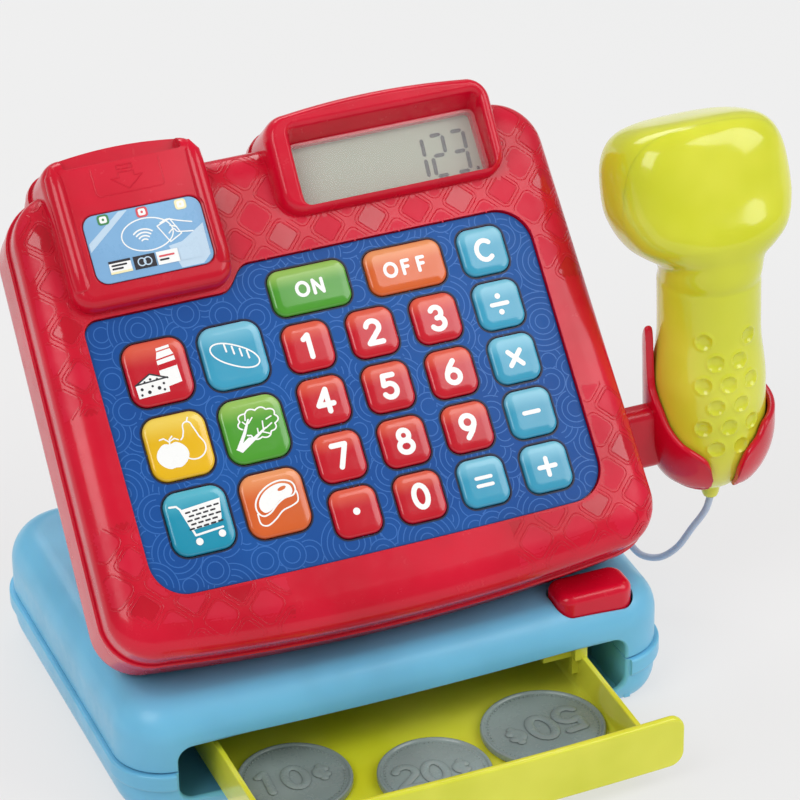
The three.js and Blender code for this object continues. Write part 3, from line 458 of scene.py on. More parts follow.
def together(*parts):
    verts, faces = [], []
    for v, f in parts:
        faces += [tuple(i + len(verts) for i in face) for face in f]
        verts += v
    return verts, faces


# ------------------------------------------------------------------ the scanner's cord
CORD_ROUTE = [(129.3, -26.8, 42.6), (128, -26.2, 37.2), (124.2, -23.6, 29), (119.8, -21.2, 20.8),
              (115, -17.6, 16), (110.4, -13, 15.6), (107.4, -8, 19.4), (104.6, 0, 23.6),
              (102.2, 8, 29.4), (99.4, 16, 35.6), (95.4, 23.6, 40.8), (89.6, 30.4, 43.6),
              (82, 36.4, 43.2), (73, 42, 42.5), (62, 47, 42.5), (48, 50.6, 42.5), (30, 52.6, 42.5),
              (12, 53.2, 42.5), (-6, 52.6, 42.5), (-18, 51, 42.5), (-25, 47, 42.5), (-26, 42, 42.5),
              (-21, 38, 42.5), (-12, 36.4, 42.5), (2, 36.6, 42.5), (16, 38.4, 42.5),
              (29, 40.4, 42.6), (38, 39.8, 43.8), (42.4, 36.6, 46.4), (43, 34.2, 48.2),
              (43, 33.4, 48.5)]


def smooth_route(points, per_span=8):
    """Centripetal Catmull-Rom through the points, in metres."""
    ps = [Vector(p) * MM for p in points]
    ps = [2 * ps[0] - ps[1]] + ps + [2 * ps[-1] - ps[-2]]
    result = []
    for a, b, c, d in zip(ps, ps[1:], ps[2:], ps[3:]):
        t1 = (b - a).length ** 0.5
        t2 = t1 + (c - b).length ** 0.5
        t3 = t2 + (d - c).length ** 0.5
        for k in range(per_span):
            t = t1 + (t2 - t1) * k / per_span
            p = a.lerp(b, t / t1)
            q = b.lerp(c, (t - t1) / (t2 - t1))
            r = c.lerp(d, (t - t2) / (t3 - t2))
            u = p.lerp(q, t / t2)
            v = q.lerp(r, (t - t1) / (t3 - t1))
            result.append(u.lerp(v, (t - t1) / (t2 - t1)))
    return result + [ps[-2]]


def build_cord():
    points = smooth_route(CORD_ROUTE)
    curve = bpy.data.curves.new("scanner_cord_sheath", "CURVE")
    curve.dimensions = "3D"
    curve.bevel_depth = 1.2 * MM
    curve.bevel_resolution = 5
    curve.use_fill_caps = True
    spline = curve.splines.new("POLY")
    spline.points.add(len(points) - 1)
    for target, point in zip(spline.points, points):
        target.co = (*point, 1)
    spline.use_smooth = True
    curve.materials.append(MAT["cord"])
    cord = bpy.data.objects.new("scanner_cord_sheath", curve)
    bpy.context.scene.collection.objects.link(cord)
    place(cord, "register", "cord", "scanner_cord")


build_cord()


# ------------------------------------------------------------------ printed and embossed marks
class Marks:
    """Flat or raised lines and shapes laid on a surface; lay(x, y, h) gives the point h above it.

    Each one lies a hair above the one before, so that where they cross no two faces coincide."""

    def __init__(self, lay=lambda x, y, h: (x, y, h), lift=0.005):
        self.lay, self.lift, self.count = lay, lift, 0
        self.verts, self.faces, self.index = [], [], []

    def point(self, x, y, h):
        self.verts.append(self.lay(x, y, h + self.lift * self.count))
        return len(self.verts) - 1

    def face(self, corners, ink):
        self.faces.append(tuple(corners))
        self.index.append(ink)

    def stroke(self, path, width, h=0.03, rise=0.0, ink=0, closed=False, keep=None, caps=True):
        """A line of even width; it is broken at sharp corners, where round ends overlap."""
        count = len(path)
        sharp = []
        for i in range(0 if closed else 1, count if closed else count - 1):
            (ax, ay), (bx, by), (cx, cy) = path[i - 1], path[i], path[(i + 1) % count]
            turn = math.atan2(cy - by, cx - bx) - math.atan2(by - ay, bx - ax)
            if abs(math.remainder(turn, 2 * math.pi)) > math.radians(48):
                sharp.append(i)
        if not sharp:
            self.line(path, width, h, rise, ink, closed, keep, caps)
            return
        if closed:
            path = path[sharp[0]:] + path[:sharp[0] + 1]
            stops = [i - sharp[0] for i in sharp] + [count]
        else:
            stops = [0] + sharp + [count - 1]
        for a, b in zip(stops, stops[1:]):
            self.line(path[a:b + 1], width, h, rise, ink, False, keep, True)

    def line(self, path, width, h, rise, ink, closed, keep, caps):
        self.count += 1
        count = len(path)
        rows = []
        for i, (x, y) in enumerate(path):
            before = path[i - 1] if i or closed else path[i]
            after = path[(i + 1) % count] if i < count - 1 or closed else path[i]
            dx, dy = after[0] - before[0], after[1] - before[1]
            size = math.hypot(dx, dy) or 1
            nx, ny = -dy / size * width / 2, dx / size * width / 2
            row = [self.point(x + nx, y + ny, h)]
            if rise:
                row += [self.point(x + nx * k, y + ny * k, h + rise) for k in (0.5, -0.5)]
            rows.append(row + [self.point(x - nx, y - ny, h)])
        for i in range(count if closed else count - 1):
            a, b = rows[i], rows[(i + 1) % count]
            here = [(path[i][k] + path[(i + 1) % count][k]) / 2 for k in (0, 1)]
            if keep is None or keep(*here):
                for k in range(len(a) - 1):
                    self.face((a[k], a[k + 1], b[k + 1], b[k]), ink)
        if caps and not closed:
            for i, j in ((0, 1), (count - 1, count - 2)):
                (x, y), (px, py) = path[i], path[j]
                self.disc(x, y, width / 2, h, rise, ink, math.atan2(y - py, x - px) - math.pi / 2,
                          math.pi)

    def dot(self, x, y, radius, h=0.03, rise=0.0, ink=0):
        self.count += 1
        self.disc(x, y, radius, h, rise, ink, 0.0, 2 * math.pi)

    def disc(self, x, y, radius, h, rise, ink, start, sweep):
        steps = 16 if sweep > 4 else 8
        angles = [start + sweep * k / steps for k in range(steps + 1)]
        rim = [self.point(x + radius * math.cos(a), y + radius * math.sin(a), h) for a in angles]
        if rise:
            inner = [self.point(x + radius / 2 * math.cos(a), y + radius / 2 * math.sin(a),
                                h + rise) for a in angles]
            for k in range(steps):
                self.face((rim[k], rim[k + 1], inner[k + 1], inner[k]), ink)
            rim = inner
        middle = self.point(x, y, h + rise)
        for k in range(steps):
            self.face((middle, rim[k], rim[k + 1]), ink)

    def fill(self, path, h=0.03, ink=0):
        self.count += 1
        self.face([self.point(x, y, h) for x, y in path], ink)

    def patch(self, path, cx, cy, size, h, ink, keep):
        """A filled shape that follows a curved surface, as rings drawn in towards its centre."""
        rows = []
        for k in (1.0, 0.75, 0.5, 0.25, 0.02):
            rows.append([(cx + (x - cx) * size * k, cy + (y - cy) * size * k) for x, y in path])
        marks = [[self.point(x, y, h) for x, y in row] for row in rows]
        for level in range(len(rows) - 1):
            for i in range(len(path)):
                j = (i + 1) % len(path)
                if keep(*rows[level][i]) and keep(*rows[level][j]):
                    self.face((marks[level][i], marks[level][j], marks[level + 1][j],
                               marks[level + 1][i]), ink)

    def data(self):
        """The points that faces use, and the faces."""
        used = sorted({i for face in self.faces for i in face})
        new = {old: k for k, old in enumerate(used)}
        return [self.verts[i] for i in used], [tuple(new[i] for i in face) for face in self.faces]


def arc(cx, cy, rx, ry, start, end, steps=18):
    """Points on an ellipse, angles in degrees."""
    points = []
    for k in range(steps + 1):
        a = math.radians(start + (end - start) * k / steps)
        points.append((cx + rx * math.cos(a), cy + ry * math.sin(a)))
    return points


def ring(cx, cy, rx, ry, steps=24):
    return arc(cx, cy, rx, ry, 0, 360, steps)[:-1]


def turned(path, cx, cy, degrees, size=1.0):
    c, s = math.cos(math.radians(degrees)) * size, math.sin(math.radians(degrees)) * size
    return [(cx + x * c - y * s, cy + x * s + y * c) for x, y in path]


GLYPHS = {  # each is a list of open strokes and a list of closed ones, one unit tall
    "0": ([], [ring(0, 0, 0.25, 0.4)]),
    "1": ([[(-0.16, 0.27), (0.02, 0.4), (0.02, -0.4)]], []),
    "2": ([arc(0, 0.17, 0.24, 0.23, 165, -35) + [(-0.24, -0.4), (0.27, -0.4)]], []),
    "3": ([arc(0, 0.19, 0.2, 0.2, 150, -90) + arc(0, -0.2, 0.25, 0.22, 80, -150)[1:]], []),
    "4": ([[(0.1, 0.4), (-0.27, -0.14), (0.29, -0.14)], [(0.1, 0.4), (0.1, -0.4)]], []),
    "5": ([[(0.22, 0.4), (-0.15, 0.4), (-0.19, 0.06)] + arc(0, -0.15, 0.25, 0.25, 118, -150)], []),
    "6": ([[(0.1, 0.4), (-0.1, 0.18), (-0.22, -0.04), (-0.24, -0.16)]],
          [ring(0, -0.16, 0.24, 0.24)]),
    "7": ([[(-0.25, 0.4), (0.25, 0.4), (-0.06, -0.4)]], []),
    "8": ([], [ring(0, 0.21, 0.19, 0.19), ring(0, -0.19, 0.25, 0.22)]),
    "9": ([[(-0.1, -0.4), (0.1, -0.18), (0.22, 0.04), (0.24, 0.16)]], [ring(0, 0.16, 0.24, 0.24)]),
    "C": ([arc(0.04, 0, 0.31, 0.36, 48, 312)], []),
    "O": ([], [ring(0, 0, 0.33, 0.36)]),
    "N": ([[(-0.25, -0.36), (-0.25, 0.36), (0.25, -0.36), (0.25, 0.36)]], []),
    "F": ([[(0.18, 0.36), (-0.16, 0.36), (-0.16, -0.36)], [(-0.16, 0.02), (0.12, 0.02)]], []),
    "+": ([[(-0.24, 0), (0.24, 0)], [(0, -0.24), (0, 0.24)]], []),
    "-": ([[(-0.22, 0), (0.22, 0)]], []),
    "x": ([[(-0.18, -0.2), (0.18, 0.2)], [(-0.18, 0.2), (0.18, -0.2)]], []),
    "=": ([[(-0.22, 0.11), (0.22, 0.11)], [(-0.22, -0.11), (0.22, -0.11)]], []),
    "c": ([arc(0.02, 0, 0.17, 0.19, 42, 318), [(0.02, 0.3), (0.02, -0.3)]], []),
}


def write(marks, sign, x, y, size, width, degrees=0.0, **how):
    opened, closed = GLYPHS[sign]
    for path in opened:
        marks.stroke(turned(path, x, y, degrees, size), width, **how)
    for path in closed:
        marks.stroke(turned(path, x, y, degrees, size), width, closed=True, **how)


# ------------------------------------------------------------------ base
BASE_BACK, BASE_FRONT, BULGE, WALL = 65, -71.2, 2.4, 2.1
BASE_SPLIT = 18  # height of the joint between the base's shells
PANEL_HALF = 77  # half the width of the drawer's panel
BOSS_X, BOSS_Y = (-70, 70), 44
BUTTON_X, BUTTON_Y, BUTTON_WIDTH, BUTTON_DEPTH = 68.9, -60.8, 26.6, 14.6
STEM_X = 72.5
base_shape = outline(-94, 94, BASE_FRONT, BASE_BACK, 17, 20, BULGE, steps=16, crown=28)


def front_at(x, half=PANEL_HALF):
    return BASE_FRONT - BULGE * (1 - (x / half) ** 2)


def mouth_cutter():
    """The drawer's mouth, with a rounded edge that follows the bowed front."""
    shape = outline(-77.7, 77.7, 6.5, 26.6, 5, 5, steps=8)
    levels = [(0, 6.5)] + [(i, y) for i, y in quarter(0, 1.4, -1.4, -0.1, 6)] + [(-1.4, -8)]
    half = PANEL_HALF
    return skin([[(x, front_at(min(max(x, -half), half)) + depth, z) for x, z in shape(inset)]
                 for inset, depth in levels])


def cheeks(low, high):
    """The walls on either side of the drawer's mouth."""
    return [cuboid(*sides, -70, -44, low, high) for sides in ((-79.8, -77.72), (77.72, 79.8))]


def build_base():
    lower = loft(base_shape, quarter(5.4, 0, 0, 9, 8, upright=False) + [(0, 11.4)]
                 + quarter(0, 11.6, -1.6, 13.2, 4, upright=False)[1:] + [(-1.6, 17.2)]
                 + quarter(-1.6, 17.2, -0.8, 18, 4)[1:] + [(WALL, 18), (WALL, 6), (3.2, 3.6),
                                                           (6, 2.6)])
    pads = [shifted(lathe([(4.4, 2.3), (4.4, 16)], 28), x, BOSS_Y, 0) for x in BOSS_X]
    pads += [cuboid(-5, 5, 57, 63.2, WALL, BASE_SPLIT)] + cheeks(WALL, BASE_SPLIT)
    pads += [cuboid(side * 48 - 1, side * 48 + 1, -66, 40, WALL, 6.7) for side in (-1, 1)]
    wells = [shifted(lathe([(3.7, -1), (3.7, WALL)], 28), x, BOSS_Y, 0) for x in BOSS_X]
    wells += [shifted(lathe([(1.8, 1), (1.8, 14)], 20), x, BOSS_Y, 0) for x in BOSS_X]
    shell = make("base_lower_moulding", *lower, materials=("sky",))
    cuts = [make("cut", *data) for data in (mouth_cutter(), *wells)]
    carve(shell, cuts, [make("add", *p) for p in pads])
    place(polish(shell), "register", "blue_shell", "base_lower_shell")

    inner = [(12, 38.9), (9, 38.6), (6, 37.4), (3.6, 34.4), (2.5, 31.5), (WALL, 29), (WALL, 18.3)]
    upper = loft(base_shape, inner + [(0.5, 18.3), (0, 18.8)] + quarter(0, 29, 11, 41, 12))
    well = block(*around(BUTTON_X, BUTTON_Y, BUTTON_WIDTH, BUTTON_DEPTH, 0.5), 5,
                 [(0, 30), (0, 60)])
    shell = make("base_upper_moulding", *upper, materials=("sky",))
    shelf = cuboid(66.5, 79.8, -68.5, -50, 27.2, 29.2)
    adds = [make("add", *data) for data in (*cheeks(BASE_SPLIT + GAP, 29.2), shelf)]
    carve(shell, [make("cut", *mouth_cutter()), make("cut", *well)], adds)
    place(polish(shell), "register", "blue_shell", "base_upper_shell")


def build_screw(node, matrix, head, height, shank, length):
    profile = [(0.2, 0), (head * 0.7, 0.05), (head * 0.93, height * 0.3), (head, height * 0.65),
               (head, height), (shank, height), (shank, length - 1.2), (0.2, length)]
    screw = make(node + "_steel", *lathe(profile, 32), matrix, ("steel",))
    arm, slit = head * 0.62, 0.35
    cross = [cuboid(-x, x, -y, y, -1, height * 0.6) for x, y in ((arm, slit), (slit, arm))]
    carve(screw, [make("cut", *c, matrix) for c in cross])
    place(polish(screw), "register", "steel", node)


build_base()
for number, side in enumerate((-1, 1), 1):
    spot = Matrix.Translation((side * 0.070, 0.044, 0.0003))
    build_screw(f"base_screw_{number}", spot, 3.3, 1.6, 1.4, 12)


# ------------------------------------------------------------------ drawer and coins
PANEL_FRONT = -116.7  # the front of the panel's ends, with the drawer open
COIN_FLOOR, COIN_THICK = 9.1, 2.4


def bent(data, cuts, bend):
    """Slices a flat plate across X, then lets bend(x) push each slice along Y."""
    bm = bmesh.new()
    verts, faces = data
    made = [bm.verts.new(v) for v in verts]
    for face in faces:
        bm.faces.new([made[i] for i in face])
    for x in cuts:
        everything = bm.verts[:] + bm.edges[:] + bm.faces[:]
        bmesh.ops.bisect_plane(bm, geom=everything, plane_co=(x, 0, 0), plane_no=(1, 0, 0),
                               dist=1e-4)
    bm.verts.ensure_lookup_table()
    bm.verts.index_update()
    points = [(v.co.x, v.co.y + bend(v.co.x), v.co.z) for v in bm.verts]
    corners = [tuple(v.index for v in f.verts) for f in bm.faces]
    bm.free()
    return points, corners


def build_drawer():
    levels = [(0.9, 0), (0.45, 0.12), (0.12, 0.45), (0, 0.9), (0, 1.9), (0.12, 2.35), (0.45, 2.68),
              (0.9, 2.8)]
    shape = outline(-PANEL_HALF, PANEL_HALF, 7, 25.8, 5, 5, steps=10)
    plate = skin([[(x, PANEL_FRONT + depth, z) for x, z in shape(inset)]
                  for inset, depth in levels])
    panel = bent(plate, range(-72, 73, 6), lambda x: -BULGE * (1 - (x / PANEL_HALF) ** 2))
    tray = loft(outline(-64.3, 64.3, PANEL_FRONT + 0.5, PANEL_FRONT + 98, 4, 4, steps=8),
                [(1.2, 7), (0.4, 7.3), (0, 8), (0, 21.8), (0.2, 22.2), (0.6, 22.4), (1.4, 22.4),
                 (1.8, 22.2), (2, 21.8), (2, 11.4), (2.3, 10.1), (3.2, 9.1), (4.6, 8.8)])
    tabs = [cuboid(50, 64.3, -66.6, -64.1, 21.4, 29), cuboid(60.3, 64.25, -66.6, -64.1, 14.4, 22),
            cuboid(60, 64.3, -69.6, -66, 21.4, 29)]
    drawer = make("drawer_moulding", *tray, materials=("lime",))
    carve(drawer, adds=[make("add", *panel)] + [make("add", *tab) for tab in tabs])
    place(polish(drawer), "drawer_body", "lime_plastic", "drawer")


def build_coin(name, text, x, y, radius, degrees):
    thick, beads, rim = COIN_THICK, 72, radius - 2.5
    turn = Matrix.Rotation(math.radians(degrees), 4, "Z")
    matrix = Matrix.Translation(Vector((x, y, COIN_FLOOR)) * MM) @ turn
    top = thick - 0.75
    profile = [(radius - 0.4, 0), (radius - 0.1, 0.12), (radius, 0.45), (radius, thick - 0.5),
               (radius - 0.2, thick - 0.15), (radius - 0.6, thick), (radius - 1.0, thick - 0.1),
               (radius - 1.3, thick - 0.45), (radius - 1.6, top)]
    body = lathe(profile, 96)
    marks = Marks(lambda u, v, h: (u, v, top + h))
    for k in range(beads):
        a = 2 * math.pi * k / beads
        marks.dot(rim * math.cos(a), rim * math.sin(a), 0.32, -0.02, 0.3)
    size = radius * 0.72
    for sign, at in zip(text, (-0.68, 0.02, 0.66)):
        scale = 0.8 if sign == "c" else 1.0
        write(marks, sign, at * size, 0, size * scale, size * 0.2, h=-0.02, rise=0.42)
    coin = make(name + "_moulding", *together(body, marks.data()), matrix, ("coin",))
    place(polish(coin, 50), name + "_body", "coin_plastic", name)


build_drawer()
build_coin("coin_fifty", "50c", 41.4, -85.6, 20.4, 186)
build_coin("coin_ten", "10c", -42, -79, 18.6, -4)
build_coin("coin_twenty", "20c", 0, -94, 18.6, -6)


def build_release_button():
    levels = [(0, 35.6), (0, 42)] + quarter(0, 42, 3, 45, 8)
    cap = block(*around(BUTTON_X, BUTTON_Y, BUTTON_WIDTH, BUTTON_DEPTH), 5, levels, 10)
    stem = shifted(lathe([(2.2, 32.2), (2.2, 36.5)], 24), STEM_X, BUTTON_Y, 0)
    button = make("release_button_cap", *cap)
    carve(button, adds=[make("add", *stem)])
    place(polish(button), "release_button_body", "red_shell", "release_button")


build_release_button()
for name in ("drawer_spring", "release_button_spring"):
    paint(name, "steel")


# ------------------------------------------------------------------ head shells
CREST, RIM = 1.5, -13
EDGE_INSET, EDGE_DROP = 11, 6  # the rounded edge starts this far in and ends this far down
CORNER, HEAD_BOW = 16, 4.5  # the head's corner radius, and how far its lower edge bows
HOOD, READER = (-19.2, 59.2, 60.2, 93.2), (-93.6, -40.2, 43, 93.4)  # left, right, bottom, top
HOOD_CREST, READER_CREST = 10, 8
POCKET, VISOR = (-10.6, 54.6, 62.4, 84.6), 4.2
HOOD_LOW_EDGE = 0.66  # how high the hood's lower edge stands, as a part of its crest
LABEL = (-85.2, -46, 50.2, 72.8)
HEAD_MIDDLE, HEAD_HALF, HEAD_TOP, HEAD_BOTTOM = -14.2, 90.5, 86, -67.5


def flare(side, w):
    """The head is widest at its lower edge, a little more so on the left."""
    return 1 + (4 if side < 0 else 2.2) / HEAD_HALF * (HEAD_TOP - w) / (HEAD_TOP - HEAD_BOTTOM)


def head_shape(inset):
    frame = outline(-HEAD_HALF, HEAD_HALF, HEAD_BOTTOM, HEAD_TOP, CORNER, CORNER, HEAD_BOW, 16,
                    28)(inset)
    return [(HEAD_MIDDLE + x * flare(x, w), w) for x, w in frame]


def head_depth(u, w):
    """How far a point of the head's face lies inside its outline."""
    across = u - HEAD_MIDDLE
    side = HEAD_HALF * flare(across, w) - abs(across)
    low = w - HEAD_BOTTOM + HEAD_BOW * (1 - min(1, across / (HEAD_HALF - CORNER)) ** 2)
    end = min(low, HEAD_TOP - w)
    if side < CORNER and end < CORNER:
        return CORNER - math.hypot(CORNER - side, CORNER - end)
    return min(side, end)


def head_face(u, w):
    depth = head_depth(u, w)
    if depth >= EDGE_INSET:
        return CREST
    rise = math.sqrt(max(1 - (1 - max(depth, 0) / EDGE_INSET) ** 2, 0))
    return -EDGE_DROP + (CREST + EDGE_DROP) * rise


def tab(frame, levels, radius, steps=10, bow=1.8):
    """A block whose far edge bows outwards."""
    left, right, bottom, top = frame
    shape = outline(left, right, -top, -bottom, radius, radius, bow, steps, 16)
    return loft(lambda inset: [(u, -w) for u, w in reversed(shape(inset))], levels)


def sloped(verts):
    """Lowers what stands above the face, the more so the nearer the hood's lower edge."""
    _, _, low, high = HOOD

    def share(w):
        return HOOD_LOW_EDGE + (1 - HOOD_LOW_EDGE) * (w - low) / (high - low)
    return [(u, w, n * share(w) if n > 0 else n) for u, w, n in verts]


def overlay_path(grow=0.0, steps=14):
    left, right, bottom, top, step = -92 - grow, 61.5 + grow, -50 - grow, 49 + grow, 41 + grow
    points = arc(left + 12, bottom + 12, 12, 12, 180, 270, steps)
    for k in range(1, 20):
        t = k / 20
        points.append((left + 12 + (right - left - 24) * t, bottom - 2.8 * t * (1 - t)))
    points += arc(right - 12, bottom + 12, 12, 12, 270, 360, steps) + arc(right - 12, top - 12, 12,
                                                                          12, 0, 90, steps)
    middle = -39.5 - grow
    for k in range(steps + 1):
        t = k / steps
        weights = ((1 - t) ** 3, 3 * t * (1 - t) ** 2, 3 * t * t * (1 - t), t ** 3)
        xs, ys = (middle + 6, middle, middle, middle - 6), (top, top, step, step)
        points.append((sum(a * b for a, b in zip(weights, xs)),
                       sum(a * b for a, b in zip(weights, ys))))
    return points + arc(left + 5, step - 5, 5, 5, 90, 180, 8)


def inside(path, u, w):
    """Whether a point lies inside a closed path."""
    hit = False
    for (a, b), (c, d) in zip(path, path[1:] + path[:1]):
        if (b > w) != (d > w) and u < a + (w - b) * (c - a) / (d - b):
            hit = not hit
    return hit


def prism(path, low, high):
    return skin([[(x, y, low) for x, y in path], [(x, y, high) for x, y in path]])


PITCH_U, PITCH_W, CAP = 22, 18.44, 15.8  # the digit keys
KEYS = {}  # name: (u, w, width, height, corner radius, colour)
for row, names in enumerate((("7", "8", "9", "subtract"), ("4", "5", "6", "multiply"),
                             ("1", "2", "3", "divide"))):
    for column, name in enumerate(names):
        tone = "red" if column < 3 else "aqua"
        KEYS["key_" + name] = ((column - 1) * PITCH_U, (row - 1) * PITCH_W, CAP, CAP, 4, tone)
for column, name in enumerate(("dot", "0", "equals", "add")):
    KEYS["key_" + name] = ((column - 1) * PITCH_U, -2 * PITCH_W, CAP, CAP, 4, "red" if column < 2
                           else "aqua")
KEYS["key_clear"] = (2 * PITCH_U, 2 * PITCH_W, CAP, CAP, 4, "aqua")
KEYS["key_on"] = (-16.3, 37, 26.6, 15.2, 4, "green")
KEYS["key_off"] = (16.7, 37, 26.6, 15.2, 4, "orange")
for k, (name, tone) in enumerate((("dairy", "red"), ("bread", "aqua"), ("fruit", "yellow"),
                                  ("vegetable", "green"), ("cart", "teal"), ("meat", "orange"))):
    KEYS["key_" + name] = (-72.2 + k % 2 * 25.5, 20.8 - k // 2 * 24.55, 20.8, 20.8, 5, tone)


def key_prism(spec, grow, low, high):
    u, w, width, height, radius, _ = spec
    return block(*around(u, w, width, height, grow), radius + grow, [(0, low), (0, high)], 6)


def shrunk(frame, by):
    left, right, bottom, top = frame
    return left + by, right - by, bottom + by, top - by


def head_cut(data):
    return make("cut", *data, HEAD)


def build_front_shell():
    edge = quarter(0, -EDGE_DROP, EDGE_INSET, CREST, 12)[1:]
    slab = loft(head_shape, [(WALL, -7), (WALL, RIM), (0.4, RIM), (0, RIM + 0.4), (0, -EDGE_DROP)]
                + edge)
    shell = make("head_front_moulding", *slab, HEAD)
    core = loft(head_shape, [(WALL, -14), (WALL, -7), (5, -3.4), (8, -3)])
    verts, faces = tab(HOOD, [(0, RIM), (0, HOOD_CREST - 6)] + quarter(0, HOOD_CREST - 6, 2.8,
                                                                       HOOD_CREST, 10), 8, 12)
    hood = sloped(verts), faces
    reader = tab(READER, [(0, RIM), (0, READER_CREST - 5)] + quarter(0, READER_CREST - 5, 4.2,
                                                                     READER_CREST, 9), 7, 12, 1.4)
    rails = []
    for u in (READER[0] + 3.6, READER[1] - 3.6):
        rail = []
        for k in range(13):
            t = k / 12
            w = READER[2] + 3 + (READER[3] - READER[2] - 5) * t
            swell = math.sqrt(max(1 - (2 * t - 1) ** 10, 0.02))
            drop = 2.6 * max(0, 1 - t * 5) ** 2
            rail.append([(u + 3.1 * swell * math.cos(a), w, READER_CREST - 1.5 - drop
                          + 3.0 * swell * math.sin(a)) for a in [-2 * math.pi * j / 24
                                                                 for j in range(24)]])
        rails.append(skin(rail))
    hood_core = block(*shrunk(HOOD, WALL), 7, [(0, -14), (0, -2)])
    reader_core = block(*shrunk(READER, WALL), 5, [(0, -14), (0, 0.9)])
    rings = []
    for grow, n in [(0, 0), (0.2, 8)] + [(0.2 + i, z) for i, z in quarter(0, 8, 1.6, 10.05,
                                                                          7)][1:] + [(1.8, 13)]:
        opened = outline(POCKET[0] - grow - n / 10, POCKET[1] + grow, POCKET[2] - grow / 2,
                         POCKET[3] + grow + VISOR * n / 12, 2.4 + grow, 2.4 + grow, steps=8)
        rings.append(sloped([(u, w, n) for u, w in opened(0)]))
    pocket = skin(rings)
    opening = block(*shrunk(POCKET, 1), 1.6, [(0, -5), (0, 3)])
    slot = cuboid(-86.5, -47, 50, 99, 3, 6.2)
    notch = block(-86.5, -47, 89, 104, 1.2, [(0, 4), (0, 20)])
    seat = block(*shrunk(LABEL, -GAP), 4, [(0, 7.1), (0, 7.8), (-0.5, 8.1), (-0.5, 12)])
    recess = prism(overlay_path(0.3), -0.8, 9)
    holes = together(*[key_prism(spec, 0.4, -6, 2) for spec in KEYS.values()])
    carve(shell, [head_cut(core)], [head_cut(hood), head_cut(reader)]
          + [head_cut(r) for r in rails])
    cuts = (hood_core, reader_core, pocket, opening, slot, notch, seat, recess, holes)
    carve(shell, [head_cut(c) for c in cuts])
    place(polish(shell, 28), "register", "red_shell", "head_front_shell")


FILM_SURROUND, FILM_INNER = overlay_path(1.0), overlay_path(-0.5)


def on_bezel(u, w):
    """Whether a mark at this point of the head's face would show on the bare bezel."""
    if head_depth(u, w) < 1.2 or inside(FILM_SURROUND, u, w):
        return False
    return not any(left - 0.6 < u < right + 0.6 and w > bottom - 0.6
                   for left, right, bottom, _ in (HOOD, READER))


def patterned(u, w):
    """The moulded diamonds lie in patches: both sides, the lower corners and round the hood."""
    if w < -49:
        return u < -50 or u > 26
    if u > 61:
        return w < -14 or w > 22
    if u < -92 and -24 < w < 12:
        return False
    return True


def diamond(size, radius):
    """A square on its corner, its corners rounded, with points about a millimetre apart."""
    path = []
    for side in range(4):
        path += turned(arc(size - radius * 2 ** 0.5, 0, radius, radius, -45, 45, 4), 0, 0,
                       90 * side)
    dense = []
    for p, q in zip(path, path[1:] + path[:1]):
        parts = max(1, round(math.dist(p, q)))
        dense += [(p[0] + (q[0] - p[0]) * k / parts, p[1] + (q[1] - p[1]) * k / parts)
                  for k in range(parts)]
    return dense


def build_emboss():
    """A net of rounded diamonds moulded into the bezel, some cells glossy and the rest satin."""
    marks = Marks(lambda u, w, h: (u, w, head_face(u, w) + h), lift=0)
    keep = lambda u, w: on_bezel(u, w) and patterned(u, w)
    pitch = 7.65
    for i in range(-12, 15):
        for j in range(-20, 2):
            cu, cw = -28 + i * pitch, 78.2 + j * pitch
            shows = any(keep(cu + a, cw + b) for a, b in ((0, 0), (5, 0), (-5, 0), (0, 5), (0, -5)))
            if (i + j) % 2 or not shows:
                continue
            double = i % 2 == 1
            glossy = double and (i * 5 + j * 3) % 4 != 2
            around = [(cu + x, cw + y) for x, y in diamond(6.7, 2.2)]
            marks.stroke(around, 0.42, h=-0.02, rise=0.16, ink=1, closed=True, keep=keep)
            cell = [(cu + x, cw + y) for x, y in (diamond(5.3, 1.2) if double else diamond(6.1,
                                                                                           2.0))]
            if double:
                marks.stroke(cell, 0.42, h=-0.02, rise=0.16, ink=1, closed=True, keep=keep)
            marks.patch(cell, cu, cw, 0.94, 0.02, 2 if glossy else 0, keep)
    pattern = make("bezel_diamonds", *marks.data(), HEAD, ("red_satin", "red", "red_deep"),
                   marks.index)
    place(polish(pattern, 60), "register", "red_shell")


BACK_FLOOR, BACK_RIM = -42, -13.3
HEAD_BOSSES, HEAD_BOSS_W = (-88, 58), 60
LATCH_Y = 17.2  # the battery door's screw, above the door's middle
FOOT_HALF = 66
FOOT_PROFILE = [(-36, 41.3), (26, 41.3), (52, 118), (30, 142.7), (-49.4, 59.4)]
FOOT_CORE = [(-34, 43.4), (24.5, 43.4), (49.6, 117.4), (28, 139), (-46.5, 60)]
WALL_LEAN = math.atan2(52 - 26, 118 - 41.3)
SLOPE = (Matrix.Translation(Vector((0, 39, 79.65)) * MM) @ Matrix.Rotation(-WALL_LEAN, 4, "X")
         @ Matrix(((-1, 0, 0, 0), (0, 0, 1, 0), (0, 1, 0, 0), (0, 0, 0, 1))))
DOOR, SPEAKER, ENTRY = (12, -2, 62, 42), (-42, 2), (43, 48.5)
ENTRY_Y = 26 + (48.5 - 41.3) * math.tan(WALL_LEAN)


def along_x(profile, half, radius=0.0, steps=5):
    """A closed outline in Y and Z, corners rounded, stood up along X."""
    points = []
    count = len(profile)
    for i, p in enumerate(profile):
        p, a, b = Vector(p), Vector(profile[i - 1]), Vector(profile[(i + 1) % count])
        if not radius:
            points.append(tuple(p))
            continue
        u, v = (a - p).normalized(), (b - p).normalized()
        for k in range(steps + 1):
            t = k / steps
            points.append(tuple(p + u * radius * (1 - t) ** 2 + v * radius * t ** 2))
    return skin([[(x, y, z) for y, z in points] for x in (-half, half)])


